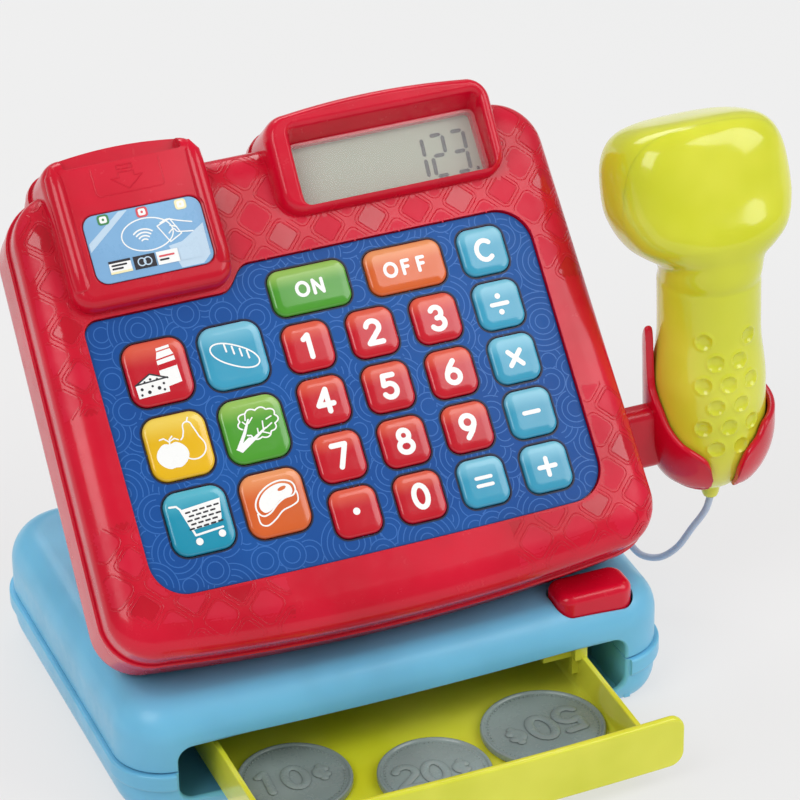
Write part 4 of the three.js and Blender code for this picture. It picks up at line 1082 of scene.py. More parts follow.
def build_back_shell():
    lip = -0.9
    levels = quarter(16, BACK_FLOOR, 0, BACK_FLOOR + 12, 10, upright=False)
    levels += [(0, BACK_RIM - 4.6), (lip + 0.3, BACK_RIM - 4.3), (lip, BACK_RIM - 3.8),
               (lip, BACK_RIM - 0.5), (lip + 0.4, BACK_RIM)]
    shell = make("head_back_moulding", *loft(head_shape, levels), HEAD)

    def side(frame, depth, radius):
        rows = quarter(5, depth, 0, depth + 7, 7, upright=False)
        return tab(frame, rows + [(0, BACK_RIM - 4.6), (lip, BACK_RIM - 4), (lip, BACK_RIM)],
                   radius, 10)

    foot = along_x(FOOT_PROFILE, FOOT_HALF, 3)
    carve(shell, adds=[head_cut(side(HOOD, -34, 9)), head_cut(side(READER, -30, 7)),
                       make("add", *foot)])
    slab_core = loft(head_shape, [(17, -39.9), (9, -38.5), (4.6, -35), (2.5, -30), (WALL, -12)])
    hood_core = tab(HOOD, [(5, -31.9), (WALL, -28), (WALL, -12)], 8)
    reader_core = tab(READER, [(5, -27.9), (WALL, -24), (WALL, -12)], 6)
    foot_core = along_x(FOOT_CORE, FOOT_HALF - WALL)
    carve(shell, [head_cut(slab_core), head_cut(hood_core), head_cut(reader_core),
                  make("cut", *foot_core)])
    x, y, width, height = DOOR
    frame_block = cuboid(x - 35, x + 35, y - 25, y + 25, -5, -0.2)
    bosses = [shifted(lathe([(5, -41), (5, -19)], 28), u, HEAD_BOSS_W, 0) for u in HEAD_BOSSES]
    carve(shell, adds=[make("add", *frame_block, SLOPE)] + [head_cut(b) for b in bosses])
    seat = block(*around(x, y, width, height, GAP), 3, [(0, -1.9), (0, -0.6), (-0.6, 0.1),
                                                        (-0.6, 9)])
    cuts = [seat, cuboid(x - 28, x + 28, y - 18, y + 14, -9, 3),
            shifted(lathe([(1.8, -12), (1.8, 3)], 20), x, y + LATCH_Y, 0)]
    for i in range(-2, 3):
        reach = 11.5 - abs(i) * 2
        cx = SPEAKER[0] + i * 5
        cuts.append(block(cx - 1.3, cx + 1.3, SPEAKER[1] - reach, SPEAKER[1] + reach, 1.2,
                          [(0, -9), (0, 3)]))
    tools = [make("cut", *c, SLOPE) for c in cuts]
    for u in HEAD_BOSSES:
        tools += [head_cut(shifted(lathe([(3.7, -60), (3.7, -34.2)], 28), u, HEAD_BOSS_W, 0)),
                  head_cut(shifted(lathe([(1.8, -60), (1.8, -20)], 20), u, HEAD_BOSS_W, 0))]
    hole = tilted(lathe([(3.3, -8), (3.3, 8)], 28), Matrix.Rotation(-math.pi / 2, 4, "X"))
    tools.append(make("cut", *shifted(hole, ENTRY[0], ENTRY_Y, ENTRY[1])))
    carve(shell, tools)
    place(polish(shell, 28), "register", "red_shell", "head_back_shell")


build_front_shell()
build_emboss()
build_back_shell()
for number, u in enumerate(HEAD_BOSSES, 1):
    spot = HEAD @ Matrix.Translation(Vector((u, HEAD_BOSS_W, BACK_FLOOR + 5.6)) * MM)
    build_screw(f"back_screw_{number}", spot, 3.3, 1.8, 1.4, 16)


# ------------------------------------------------------------ keypad film and its printed circles
def inside_keys(u, w, grow=0.7):
    for cu, cw, width, height, _, _ in KEYS.values():
        if abs(u - cu) < width / 2 + grow and abs(w - cw) < height / 2 + grow:
            return True
    return False


def on_film(u, w):
    return inside(FILM_INNER, u, w)


def build_film():
    film = make("keypad_film", *prism(overlay_path(), -0.5, 0), HEAD, ("film", "film_line"))
    holes = together(*[key_prism(spec, 0.4, -2, 2) for spec in KEYS.values()])
    carve(film, [head_cut(holes)])
    polish(film)
    place(film, "register", "overlay", "keypad_overlay")
    rng = random.Random(7)
    discs = []
    for _ in range(1500):
        u, w, radius = rng.uniform(-94, 64), rng.uniform(-52, 51), rng.choice((4.6, 6.4, 8.2, 10.0))
        if all(math.hypot(u - a, w - b) > 0.62 * (radius + r) for a, b, r in discs):
            discs.append((u, w, radius))
    marks = Marks(lift=0)
    for k, (cu, cw, radius) in enumerate(discs):
        above = discs[k + 1:]

        def seen(u, w):
            return (on_film(u, w) and not inside_keys(u, w)
                    and not any(math.hypot(u - a, w - b) < r + 0.2 for a, b, r in above))
        r = radius
        while r > 1:
            marks.stroke(ring(cu, cw, r, r, max(20, int(r * 5))), 0.34, h=0.02, closed=True,
                         keep=seen)
            r -= 1.9
    # A navy ring round each key hole: partly the film's printed outline, partly a painted shadow in
    # the gap round the key.
    for cu, cw, width, height, radius, _ in KEYS.values():
        hole = outline(*around(cu, cw, width, height), radius, radius, steps=6)
        marks.stroke(hole(-0.6), 0.5, h=0.03, ink=1, closed=True)
    lines = make("keypad_film_circles", *marks.data(), HEAD, ("film_line", "navy"), marks.index)
    place(lines, "register", "overlay")


build_film()


# ------------------------------------------------------------------ keys
def draw_dairy(m):
    m.fill([(0.2, -5.6), (6.6, -4.6), (6.2, 4.2), (0.2, 3.4)], 0.03)
    m.fill([(0.2, 3.9), (6.2, 4.7), (5.4, 6.6), (0.9, 6.1)], 0.03)
    m.fill([(0.9, 6.5), (5.4, 7.0), (5.4, 7.9), (0.9, 7.4)], 0.03)
    m.fill([(0.2, 0.2), (6.3, 0.9), (6.35, 2.7), (0.2, 2.0)], 0.05, 2)
    m.stroke([(-8.4, -2.9), (2.2, -2.3)], 0.5, 0.05, ink=1)
    m.fill([(-8.4, -7.4), (1.9, -7.0), (2.2, -2.6), (-3.2, -0.4), (-8.6, -3.0)], 0.04)
    m.stroke([(-8.6, -3.0), (-3.2, -0.2), (2.3, -2.5)], 0.5, 0.06, ink=1)
    for x, y, r in ((-6.8, -4.6, 0.5), (-4.6, -5.9, 0.6), (-3.2, -4.2, 0.4), (-1.2, -5.2, 0.6),
                    (0.6, -4.0, 0.4), (0.4, -6.0, 0.4), (-7.2, -6.4, 0.4), (-3.4, -1.9, 0.4),
                    (-5.4, -2.4, 0.35), (-1.2, -2.2, 0.35)):
        m.dot(x, y, r, 0.06, ink=1)


def draw_bread(m):
    loaf = [(math.copysign(abs(x) ** 0.86, x), y) for x, y in ring(0, 0, 1, 1, 40)]
    m.stroke(turned([(x * 8.2, y * 3.3) for x, y in loaf], 0, -0.2, -27), 0.5, closed=True)
    for x in (-4.2, -1.6, 1.0, 3.4):
        m.stroke(turned([(x, 2.6), (x + 1.3, 0.5)], 0, -0.2, -27), 0.6)


def draw_fruit(m):
    apple = [(-2.8 + 5.0 * math.cos(a) * (1 + 0.06 * math.cos(2 * a)), -2.6 + 4.5 * math.sin(a)
              - 0.9 * math.exp(-((a - math.pi / 2) / 0.28) ** 2)
              + 0.5 * math.exp(-((a - 1.5 * math.pi) / 0.25) ** 2)) for a in [2 * math.pi * k / 48
                                                                              for k in range(48)]]
    m.fill(apple)
    m.stroke([(-2.9, 1.2), (-2.6, 2.6), (-1.6, 3.4)], 0.5)
    m.stroke([(-2.9, 1.8), (-4.4, 3.2), (-5.8, 3.0)], 0.45)
    m.stroke([(-2.7, 1.9), (-1.0, 2.6), (0.2, 1.9)], 0.45)
    pear = arc(4.3, -1.6, 4.0, 3.7, -140, 28, 20) + [(7.0, 1.6), (6.2, 4.0), (5.6, 5.6)]
    pear += arc(4.1, 5.5, 1.5, 1.5, 10, 170, 10) + [(2.5, 4.2), (1.8, 2.4), (1.0, 1.7)]
    m.stroke(pear, 0.48)
    m.stroke([(4.2, 6.9), (4.9, 8.2)], 0.5)


def draw_vegetable(m):
    frill = []
    for k in range(96):
        a = 2 * math.pi * k / 96
        r = 0.9 + 0.15 * abs(math.cos(5 * a)) + 0.06 * math.sin(3 * a)
        frill.append((1.4 + 6.4 * r * math.cos(a), 1.6 + 4.9 * r * math.sin(a)))
    keep = lambda u, w: not (u < -3.2 and w < 0.4)
    m.stroke(frill, 0.5, closed=True, keep=keep)
    m.fill([(-8.0, -5.4), (-6.2, -6.8), (-0.6, -3.4), (3.6, -0.6), (3.2, -0.2), (-1.4, -2.6),
            (-3.0, -2.4)], 0.04)
    m.fill([(-7.6, -5.0), (-6.6, -5.8), (-3.4, -1.0), (-1.2, 3.4), (-1.8, 3.5), (-4.4, -0.6)],
           0.045)
    for path in ([(-2.4, 1.4), (-3.6, 2.8)], [(-1.8, 2.0), (-0.2, 3.6)], [(0.4, -2.4), (0.6, -0.2)],
                 [(2.0, -1.6), (4.2, -2.6)], [(3.4, -0.6), (5.6, 0.6)], [(2.4, -1.0), (2.8, 1.8)],
                 [(-2.6, 3.2), (-2.2, 5.0)], [(4.2, 2.2), (6.0, 2.8)]):
        m.stroke(path, 0.45)


def draw_cart(m):
    m.stroke([(-8.6, 6.0), (-6.4, 5.8), (-5.4, 4.6), (-2.6, -4.4), (6.6, -3.6)], 0.7)
    m.fill([(-5.4, 4.4), (8.0, 5.6), (7.0, -0.6), (6.2, -1.8), (-3.2, -2.6)], 0.035)
    for row in range(5):
        for column in range(5):
            x = -3.9 + column * 2.4 + (row % 2) * 0.9
            y = 3.4 - row * 1.35 + x * 0.07
            if x < 6.6 - row * 0.2:
                m.stroke([(x, y), (x + 1.3, y + 0.1)], 0.55, 0.06, ink=1)
    m.dot(-2.0, -6.6, 1.2)
    m.dot(5.8, -5.6, 1.2)


def draw_meat(m):
    top = [(-6.8, -1.6), (-6.6, 1.2), (-4.4, 4.0), (-0.8, 6.0), (3.2, 6.6), (6.4, 5.4), (7.2, 3.0),
           (6.0, 1.2), (3.0, 0.8), (0.2, -0.6), (-2.6, -2.8), (-5.2, -3.4)]
    dense = rounded(top)
    m.stroke(dense, 0.55, closed=True)
    m.fill([(x * 0.84 + 0.1, y * 0.82 + 0.3) for x, y in dense], 0.035)
    m.fill(turned(ring(0, 0, 1.5, 0.6, 18), 2.9, 4.0, 14), 0.06, 1)
    m.stroke(rounded([(-6.9, -2.4), (-6.7, -5.6), (-4.6, -6.6), (-1.6, -5.2), (1.4, -3.0),
                      (4.4, -2.2), (6.8, -1.2), (7.4, 0.6), (7.3, 2.2)], False), 0.5)


def rounded(points, closed=True, steps=5):
    """Catmull-Rom through a few points."""
    count = len(points)
    result = []
    for i in range(count if closed else count - 1):
        pick = [points[(i + k) % count if closed else min(max(i + k, 0), count - 1)]
                for k in (-1, 0, 1, 2)]
        for s in range(steps):
            t = s / steps
            result.append(tuple(0.5 * (2 * b + (c - a) * t + (2 * a - 5 * b + 4 * c - d) * t * t
                                       + (3 * b - a - 3 * c + d) * t ** 3)
                                for a, b, c, d in zip(*pick)))
    return result if closed else result + [points[-1]]


def draw_word(word):
    def draw(m):
        for k, sign in enumerate(word):
            write(m, sign, (k - (len(word) - 1) / 2) * 5.3, 0, 5.9, 1.15)
    return draw


def draw_sign(sign, size=9.0, width=1.75):
    return lambda m: write(m, sign, 0, 0, size, width)


def draw_divide(m):
    m.stroke([(-2.7, 0), (2.7, 0)], 1.4)
    m.dot(0, 2.7, 0.95)
    m.dot(0, -2.7, 0.95)


ART = {"key_divide": draw_divide, "key_multiply": draw_sign("x", 11.5, 1.6),
       "key_subtract": draw_sign("-", 11.5, 1.4), "key_add": draw_sign("+", 11.5, 1.5),
       "key_equals": draw_sign("=", 11.5, 1.2), "key_clear": draw_sign("C", 9, 1.6),
       "key_on": draw_word("ON"), "key_off": draw_word("OFF"), "key_dot": lambda m: m.dot(0, 0,
                                                                                          1.2),
       "key_dairy": draw_dairy, "key_bread": draw_bread, "key_fruit": draw_fruit,
       "key_vegetable": draw_vegetable, "key_cart": draw_cart, "key_meat": draw_meat}
for digit in "0123456789":
    ART["key_" + digit] = draw_sign(digit)


def build_key(name, spec):
    u, w, width, height, radius, tone = spec
    levels = [(-0.8, -4.7), (-0.8, -3.5), (0, -3.5), (0, 0.1)] + quarter(0, 0.1, 1.3, 1.28,
                                                                         6)[1:] + [(2, 1.37),
                                                                                   (3, 1.4)]
    body = block(*around(u, w, width, height), radius, levels)
    marks = Marks(lambda x, y, h: (u + x, w + y, 1.4 + h))
    ART[name](marks)
    verts, faces = together(body, marks.data())
    index = [0] * len(body[1]) + [1 + ink for ink in marks.index]
    inks = ("key_" + tone, "white", "dark_ink" if tone in ("teal", "red") else "key_" + tone,
            "key_" + tone)
    key = make(name + "_cap", verts, faces, HEAD, inks, index)
    slot = {"aqua": "key_blue"}.get(tone, "key_" + tone)
    place(smooth(key, 35), name + "_body", slot, name)


for name, spec in KEYS.items():
    build_key(name, spec)


# ------------------------------------------------------------------ display
def build_display():
    pane = block(*shrunk(POCKET, GAP), 2.4, [(0.2, 0.3), (0, 0.5), (0, 1.1), (0.3, 1.3)])
    window = make("lcd_pane", *pane, HEAD, ("clear",))
    place(polish(window), "register", "clear_window", "lcd_window")
    panel = block(*shrunk(POCKET, -1), 1, [(0, -6.4), (0, -3.6), (0.2, -3.4)], 4)
    marks = Marks(lambda u, w, h: (u, w, -3.4 + h))
    lit = {"1": "bc", "2": "abged", "3": "abgcd"}
    size, width = 6.9, 1.35
    for k, sign in enumerate("123"):
        u, w = 32.95 + k * 7.35, 72
        corners = {"a": ((0, 2), (1, 2)), "b": ((1, 2), (1, 1)), "c": ((1, 1), (1, 0)),
                   "d": ((0, 0), (1, 0)), "e": ((0, 1), (0, 0)), "f": ((0, 2), (0, 1)),
                   "g": ((0, 1), (1, 1))}
        for part in lit[sign]:
            ends = []
            for x, y in corners[part]:
                ends.append(Vector((u + (x - 0.5) * 4.7 + (y - 1) * 0.45, w + (y - 1) * size)))
            way = (ends[1] - ends[0]).normalized()
            p, q = ends[0] + way * 0.35, ends[1] - way * 0.35
            side = Vector((-way.y, way.x)) * width / 2
            marks.fill([tuple(v) for v in (p, p + way * 0.6 - side, q - way * 0.6 - side, q,
                                           q - way * 0.6 + side, p + way * 0.6 + side)])
    marks.dot(52.1, 65.3, 0.6)
    verts, faces = together(panel, marks.data())
    index = [0] * len(panel[1]) + [1] * len(marks.index)
    module = make("lcd_module_panel", verts, faces, HEAD, ("display", "dark_ink"), index)
    place(module, "register", "display", "lcd_module")


build_display()


# ------------------------------------------------------------ card reader's label and arrow
def build_label():
    left, right, bottom, top = LABEL
    body = block(left, right, bottom, top, 4, [(0, 7.4), (0, 7.8), (0.1, 7.9)], 8)
    m = Marks(lambda u, w, h: ((left + right) / 2 + u, (bottom + top) / 2 + w, 7.9 + h))
    m.fill([(18.6, 2.0), (10.5, -2.6), (5.8, -3.2), (8.2, -11.0), (15.6, -10.9), (18.4, -8.4)],
           0.02, 3)
    m.fill([(-19.2, 2.4), (-7.2, 11.0), (-4.2, 11.0), (-19.2, -0.4)], 0.02, 3)
    m.stroke([(x + 0.1, y + 1.9) for x, y in ring(0, 0, 8.5, 5.3, 40)], 0.42, closed=True)
    for r in (1.5, 2.6, 3.7, 4.8):
        m.stroke(arc(-1.2, -1.0, r, r, 50, 130, 10), 0.5)
    m.stroke([(3.8, 3.8), (6.8, -2.0), (11.0, 0.0), (8.4, 5.4)], 0.4, closed=True)
    m.stroke(rounded([(5.0, 4.6), (7.6, 5.4), (10.6, 4.4), (15.2, 3.0)], False), 0.42)
    m.stroke(rounded([(7.0, 0.8), (8.8, 2.0), (9.8, 0.8), (12.0, 0.4), (14.8, 0.0)], False), 0.42)
    m.stroke([(8.0, 3.2), (10.0, 2.4)], 0.42)
    for u, ink in ((-12.7, 6), (0.2, 5), (13.1, 4)):
        m.fill([(u + x, 9.3 + y) for x, y in outline(-1.9, 1.9, -1.7, 1.7, 1, 1, steps=4)(0)],
               0.025, ink)
        m.fill([(u + x, 9.3 + y) for x, y in outline(-1.2, 1.2, -1.1, 1.1, 0.6, 0.6, steps=4)(0)],
               0.04, 1)
        m.dot(u, 9.3, 0.42, 0.055, ink=ink)
    for u, ink in ((-11.2, 1), (-3.1, 2), (4.6, 1), (12.1, 3)):
        m.fill([(u - 3.6, -8.7), (u + 3.6, -8.7), (u + 3.6, -4.4), (u - 3.6, -4.4)], 0.03, ink)
    m.fill([(-14.8, -5.2), (-7.6, -5.2), (-7.6, -4.4), (-14.8, -4.4)], 0.04, 2)
    m.fill([(-14.8, -8.7), (-7.6, -8.7), (-7.6, -8.0), (-14.8, -8.0)], 0.04, 4)
    m.stroke([(-13.8, -6.0), (-9.2, -6.0)], 0.6, 0.05, ink=2)
    m.stroke([(-13.8, -7.1), (-10.6, -7.1)], 0.6, 0.05, ink=2)
    for side in (-1, 1):
        m.stroke([(-3.1 + side + x, -6.55 + y) for x, y in ring(0, 0, 1.25, 1.25, 16)], 0.4, 0.05,
                 ink=3, closed=True)
    m.stroke([(2.0, -6.0), (6.6, -6.0)], 0.6, 0.05, ink=5)
    m.stroke([(2.0, -7.2), (4.6, -7.2)], 0.6, 0.05, ink=2)
    verts, faces = together(body, m.data())
    index = [0] * len(body[1]) + [(ink if ink else 1) for ink in m.index]
    inks = ("label", "white", "dark_ink", "pale", "cream", "rose", "leaf")
    label = make("card_label_film", verts, faces, HEAD, inks, index)
    place(label, "register", "label", "card_label")

    arrow = Marks(lambda u, w, h: (-67 + u, 82.6 + w, READER_CREST + h))
    arrow.stroke([(-11, 5), (-11, -3)] + arc(-9.6, -3, 1.4, 1.4, 180, 270, 4) + arc(10.2, -3, 1.4,
                                                                                    1.4, 270, 360,
                                                                                    4)
                 + [(11.6, 5)], 0.5, -0.03, 0.2, caps=False)
    arrow.stroke([(-5.2, 0.6), (0, -3.4), (5.2, 0.6), (2.6, 0.6), (2.6, 2.2), (-2.6, 2.2),
                  (-2.6, 0.6)], 0.45, -0.03, 0.2, closed=True)
    arrow.stroke([(-2.6, 3.3), (2.6, 3.3), (2.6, 4.6), (-2.6, 4.6)], 0.45, -0.03, 0.2, closed=True)
    mark = make("reader_arrow", *arrow.data(), HEAD, ("red",))
    place(polish(mark, 60), "register", "red_shell")


build_label()


# ------------------------------------------------------------------ back wall pieces and the inside
def build_battery_door():
    x, y, width, height = DOOR
    levels = [(0, -1.6), (0, -0.6), (0.15, -0.2), (0.5, 0)]
    plate = block(*around(x, y, width, height), 3, levels, 6)
    door = make("battery_door_panel", *plate, SLOPE)
    grooves = [cuboid(x - 24, x + 24, y - 15 + 4 * k - 0.5, y - 15 + 4 * k + 0.5, -0.5, 1)
               for k in range(6)]
    hole = shifted(lathe([(2, -3), (2, 3)], 28), x, y + LATCH_Y, 0)
    carve(door, [make("cut", *tool, SLOPE) for tool in grooves + [hole]])
    place(polish(door), "register", "red_shell", "battery_door")
    flip = SLOPE @ Matrix.Translation(Vector((x, y + LATCH_Y, 1.7)) * MM) @ Matrix.Rotation(math.pi,
                                                                                            4, "X")
    build_screw("battery_door_screw", flip, 3, 1.4, 1.4, 9)


build_battery_door()
for node, key in (("battery_box", "black"), ("battery_cell_1", "cell"), ("battery_cell_2", "cell"),
                  ("speaker", "black"), ("key_mat", "mat"), ("circuit_board", "board")):
    paint(node, key)


def build_grommet():
    profile = [(1.55, -4), (2.9, -4), (2.9, 1.4), (4.2, 1.4), (4.6, 1.7), (4.6, 2.3), (4.2, 2.7),
               (3.0, 3.2), (2.5, 3.9), (2.2, 4), (1.55, 4)]
    body = tilted(lathe(profile, 32, closed=True), Matrix.Rotation(-math.pi / 2, 4, "X"))
    grommet = make("cord_grommet_rubber", *shifted(body, ENTRY[0], ENTRY_Y + 0.8, ENTRY[1]),
                   materials=("cord",))
    place(polish(grommet), "register", "cord", "cord_grommet")


build_grommet()


# ------------------------------------------------------------------ scanner
def handle_radius(z):
    """Belly, waist and rounded foot of the scanner's handle."""
    if z > -10:
        t = min(1, max(0, (z - 6) / 20))
        return BELLY - (BELLY - WAIST) * t * t * (3 - 2 * t)
    t = (-10 - z) / 24
    return BELLY * math.sqrt(max(1 - 0.93 * t * t, 0.04))


DIMPLES = [(-31.4 + 13.2 * column, 27.3 - 15.6 * (row + column % 2 / 2)) for column in range(5)
           for row in range(3) if (column, row) != (2, 0)]
HEAD_SECTIONS = [  # half width, middle, half depth, squareness, height: from the neck to the top
    (17.2, 0, 17.2, 2, 40), (17.2, 0, 17.2, 2, 42.5), (17.1, 0.1, 17, 2, 45.5),
    (18, 2, 17.1, 2.1, 50.7), (22, 3.6, 18.8, 2.3, 53.9), (25.4, 5.2, 21, 2.6, 57.5),
    (27.6, 6.6, 22.3, 2.8, 61.5), (29.3, 7.8, 22.4, 2.9, 66.1), (30.2, 8.7, 22.3, 3, 71),
    (30.2, 8.9, 22.1, 3, 78.4), (29.4, 8.8, 21.4, 3, 85.5), (27.2, 8.6, 19.9, 2.9, 91.2),
    (23.4, 8.4, 17.2, 2.8, 94.9), (17.6, 8.2, 13, 2.6, 96.9), (10.4, 8.2, 7.6, 2.5, 97.6),
    (4.2, 8.2, 2.9, 2.4, 97.8),
]
HEAD_NOD, NOD_HEIGHT = math.radians(-18), 69
SHELL_SPLIT, SPLIT_GAP = 2, 0.02  # where the two shells meet, and half the gap between them
CORD_HOLE = (0.8, 0.4)
TRIGGER, SCAN_WINDOW = (-5.4, 5.4, 14, 35), (-16, 16, 63, 82)  # left, right, bottom, top
BELLY, WAIST = 18.9, 17.2


def superellipse(half, front, back, power, count=224):
    ring_points = []
    for k in range(count):
        a = 2 * math.pi * k / count
        c, s = math.cos(a), math.sin(a)
        x = half * math.copysign(abs(c) ** (2 / power), c)
        y = (back if s > 0 else front) * math.copysign(abs(s) ** (2 / power), s)
        ring_points.append((x, y))
    return ring_points


def dimpled(radius, degrees, z):
    """The handle's radius with its finger dimples, each a shallow dish inside a fine ring."""
    for angle, height in DIMPLES:
        d = math.hypot(math.radians(degrees - angle) * radius, z - height)
        if d < 4.5:
            radius += 0.3 * math.exp(-((d - 3.0) / 0.4) ** 2) - 0.75 * max(0.0, 1 - (d / 2.6) ** 4)
    return radius


def scanner_skin():
    foot = handle_radius(-33.2)
    rings = [[(x * r, y * r, z) for x, y in superellipse(1, 1, 1, 2)]
             for r, z in ((foot - 1.6, -34), (foot - 0.6, -33.8))]
    steps = 150
    for k in range(steps):
        z = -33.4 + (39.5 + 33.4) * k / steps
        base = handle_radius(z)
        ring_points = []
        for x, y in superellipse(1, 1, 1, 2):
            degrees = math.degrees(math.atan2(x, -y))
            r = dimpled(base, degrees, z) if -45 < degrees < 36 and -17 < z < 33 else base
            ring_points.append((x * r, y * r, z))
        rings.append(ring_points)
    for half, middle, depth, power, z in rounded(HEAD_SECTIONS, False, 4):
        bend = min(1, max(0, (z - 44) / 12))
        rings.append([nod((x, y + middle, z), bend) for x, y in superellipse(half, depth, depth,
                                                                             power)])
    return skin(rings)


def nod(point, amount=1.0):
    """Tips a point of the scanner's head forwards about the head's middle."""
    x, y, z = point
    c, s = math.cos(HEAD_NOD * amount), math.sin(HEAD_NOD * amount)
    z -= NOD_HEIGHT
    return x, y * c - z * s, y * s + z * c + NOD_HEIGHT


def rounded_tool(left, right, bottom, top, radius, levels):
    """A rounded rectangle in X and Z, run along Y; levels are [inset, y]."""
    shape = outline(left, right, bottom, top, radius, radius, steps=6)
    return skin([[(x, y, z) for x, z in shape(inset)] for inset, y in levels])


def build_scanner():
    body = scanner_skin()
    trigger_hole = rounded_tool(*shrunk(TRIGGER, -GAP), 1.5, [(0, 10), (0, 26)])
    verts, faces = rounded_tool(*shrunk(SCAN_WINDOW, -GAP), 4, [(0, 29.4), (0, 44)])
    seat = [nod(v) for v in verts], faces
    for name, side in (("front", -1), ("rear", 1)):
        shell = make(f"scanner_{name}_moulding", *body, SCANNER, ("lime",))
        depth = (-60, SHELL_SPLIT - SPLIT_GAP) if side < 0 else (SHELL_SPLIT + SPLIT_GAP, 60)
        carve(shell, common=[make("half", *cuboid(-60, 60, *depth, -60, 120), SCANNER)])
        hole = shifted(lathe([(1.9, -38), (1.9, -28)], 24), *CORD_HOLE, 0)
        tools = [make("cut", *hole, SCANNER)]
        if side > 0:
            tools += [make("cut", *trigger_hole, SCANNER), make("cut", *seat, SCANNER)]
        carve(shell, tools)
        place(polish(shell, 30), "scanner_body", "lime_plastic", f"scanner_{name}_shell")
    lever = rounded_tool(*TRIGGER, 1.6, [(0, 13.2), (0, 19.6), (0.25, 20.4), (0.9, 20.9),
                                         (1.8, 21)])
    trigger = make("scan_trigger_lever", *lever, SCANNER)
    place(polish(trigger), "trigger_body", "red_shell", "scan_trigger")
    verts, faces = rounded_tool(*SCAN_WINDOW, 3.6, [(0, 29.6), (0, 30.2), (0.3, 30.6), (0.8, 30.7)])
    lens = make("scan_window_lens", [nod(v) for v in verts], faces, SCANNER, ("lens",))
    place(polish(lens), "scanner_body", "lens", "scan_window")
    boot = lathe([(2.0, -40), (2.4, -39.8), (2.9, -38.6), (3.3, -36.4), (3.4, -34.3)], 32)
    sleeve = make("scanner_cord_boot_nub", *shifted(boot, *CORD_HOLE, 0), SCANNER, ("lime",))
    place(polish(sleeve), "scanner_body", "lime_plastic", "scanner_cord_boot")


CRADLE_RIM = [  # angle round the handle, 0 in front and -90 on the left, and height
    (-180, 4), (-150, 8), (-130, 14), (-117, 20), (-106, 25.5), (-99, 27.5), (-96, 24),
    (-94, 14), (-91, 8), (-84, 4.4), (-75, 0.3), (-66, -4.6), (-52, -9.4), (-40, -11.8),
    (-29, -14.6), (-24, -18), (-20, -24), (-8, -26), (3, -24), (6, -18.5), (11, -14),
    (18, -11.6), (26, -9.6), (36, -6), (50, -5), (63, -4), (85, -2.6), (110, -1), (140, 1),
]


SLOT_ANGLE, CUP_INNER, CUP_OUTER = -8.5, 0.5, 3.1  # the cup's faces lie this far from the handle


def cradle_foot(degrees):
    """The lower edge is level but rises to the two claws' rounded ends."""
    return -31 + 5 * math.exp(-((degrees - SLOT_ANGLE) / 16) ** 2)


def bore_radius(z):
    return handle_radius(min(z, -10))


def build_cradle():
    rings = []
    for degrees, top in rounded(CRADLE_RIM + [(180, 4)], False, 10)[:-1]:
        a = math.radians(degrees)
        low = cradle_foot(degrees)
        lip = (CUP_OUTER - CUP_INNER) / 2
        section = []
        for k in range(9):
            b = math.pi * (1 + k / 8)
            section.append((bore_radius(low) + CUP_INNER + lip + lip * math.cos(b),
                            low + lip + lip * math.sin(b)))
        for k in range(1, 14):
            z = low + lip + (top - low - 2 * lip) * k / 14
            section.append((bore_radius(z) + CUP_OUTER, z))
        for k in range(9):
            b = math.pi * k / 8
            section.append((bore_radius(top) + CUP_INNER + lip + lip * math.cos(b),
                            top - lip + lip * math.sin(b)))
        for k in range(1, 14):
            z = top - lip - (top - low - 2 * lip) * k / 14
            section.append((bore_radius(z) + CUP_INNER, z))
        rings.append([(r * math.sin(a), -r * math.cos(a), z) for r, z in section])
    cradle = make("scanner_cradle_moulding", *skin(rings, caps=False, loop=True), SCANNER)
    swap = Matrix(((0, 0, 1, 0), (1, 0, 0, 0), (0, 1, 0, 0), (0, 0, 0, 1)))
    arm = tilted(block(-3.5, 5.5, -22.8, -0.8, 3.4, [(0, -36.4), (0, -17.5)], 8), swap)
    carve(cradle, adds=[make("add", *arm, SCANNER)])
    turn = Matrix.Rotation(math.radians(SLOT_ANGLE), 4, "Z")
    slot = tilted(cuboid(-4.3, 4.3, -30, 0, -40, 0), turn)
    bore = [(0.2, -34)] + [(bore_radius(z) + 0.45, z) for z in (-34, -31, -27, -22, -18, -14,
                                                                -10)] + [(19.35, 40), (0.2, 40)]
    carve(cradle, [make("cut", *slot, SCANNER), make("cut", *lathe(bore, 96), SCANNER)])
    place(polish(cradle, 30), "register", "red_shell", "scanner_cradle")


build_scanner()
build_cradle()


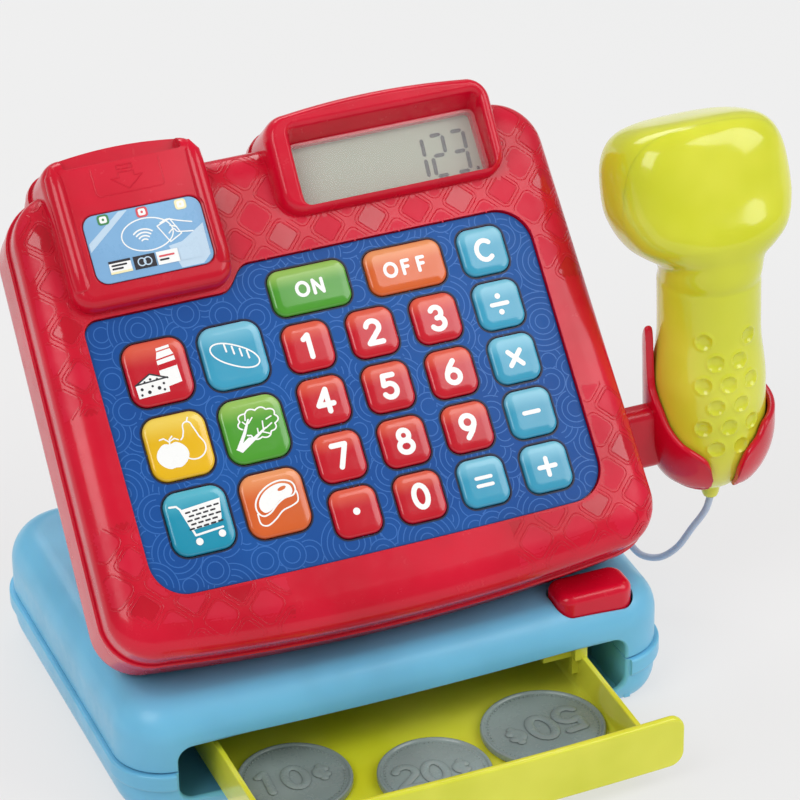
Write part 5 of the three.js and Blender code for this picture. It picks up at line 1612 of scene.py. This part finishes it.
# ------------------------------------------------------------------ floor, lights and sky
LIGHTS = (  # name, place, size and power
    ("left", (-1.1, -0.7, 1.5), (1.0, 1.0), 12), ("right", (1.1, -0.8, 1.3), (1.0, 1.2), 12),
    ("back", (0.1, 1.3, 1.4), (1.4, 0.7), 10),
)


def build_stage():
    mesh = bpy.data.meshes.new("floor")
    mesh.from_pydata([(-6, -6, 0), (6, -6, 0), (6, 6, 0), (-6, 6, 0)], [], [(0, 1, 2, 3)])
    m = Nodes("floor_paper")
    place = m.coords()
    tint = m.noise(place, 3)
    m.shade(Base_Color=m.mix(tint, (0.21, 0.21, 0.21, 1), (0.23, 0.23, 0.23, 1)))
    m.shade(Roughness=0.9, Specular_IOR_Level=0.0)
    m.shade(Emission_Color=(1, 1, 1, 1), Emission_Strength=0.61)
    mesh.materials.append(m.material)
    floor = bpy.data.objects.new("floor", mesh)
    bpy.context.scene.collection.objects.link(floor)
    world = bpy.data.worlds.new("studio")
    world.use_nodes = True
    tree = world.node_tree
    soft, dark = tree.nodes["Background"], tree.nodes.new("ShaderNodeBackground")
    for room, strength in ((soft, 0.56), (dark, 0.3)):
        room.inputs["Color"].default_value = (1, 1, 1, 1)
        room.inputs["Strength"].default_value = strength
    mixer = tree.nodes.new("ShaderNodeMixShader")
    tree.links.new(tree.nodes.new("ShaderNodeLightPath").outputs["Is Glossy Ray"], mixer.inputs[0])
    tree.links.new(soft.outputs[0], mixer.inputs[1])
    tree.links.new(dark.outputs[0], mixer.inputs[2])
    tree.links.new(mixer.outputs[0], tree.nodes["World Output"].inputs["Surface"])
    bpy.context.scene.world = world
    for name, spot, size, power in LIGHTS:
        data = bpy.data.lights.new(name, "AREA")
        data.shape, data.size, data.size_y, data.energy = "RECTANGLE", size[0], size[1], power
        lamp = bpy.data.objects.new(name, data)
        aim = (Vector((0, 0, 0.08)) - Vector(spot)).to_track_quat("-Z", "Y")
        lamp.matrix_world = Matrix.Translation(spot) @ aim.to_matrix().to_4x4()
        bpy.context.scene.collection.objects.link(lamp)
    bpy.context.scene.view_settings.view_transform = "Standard"


build_stage()
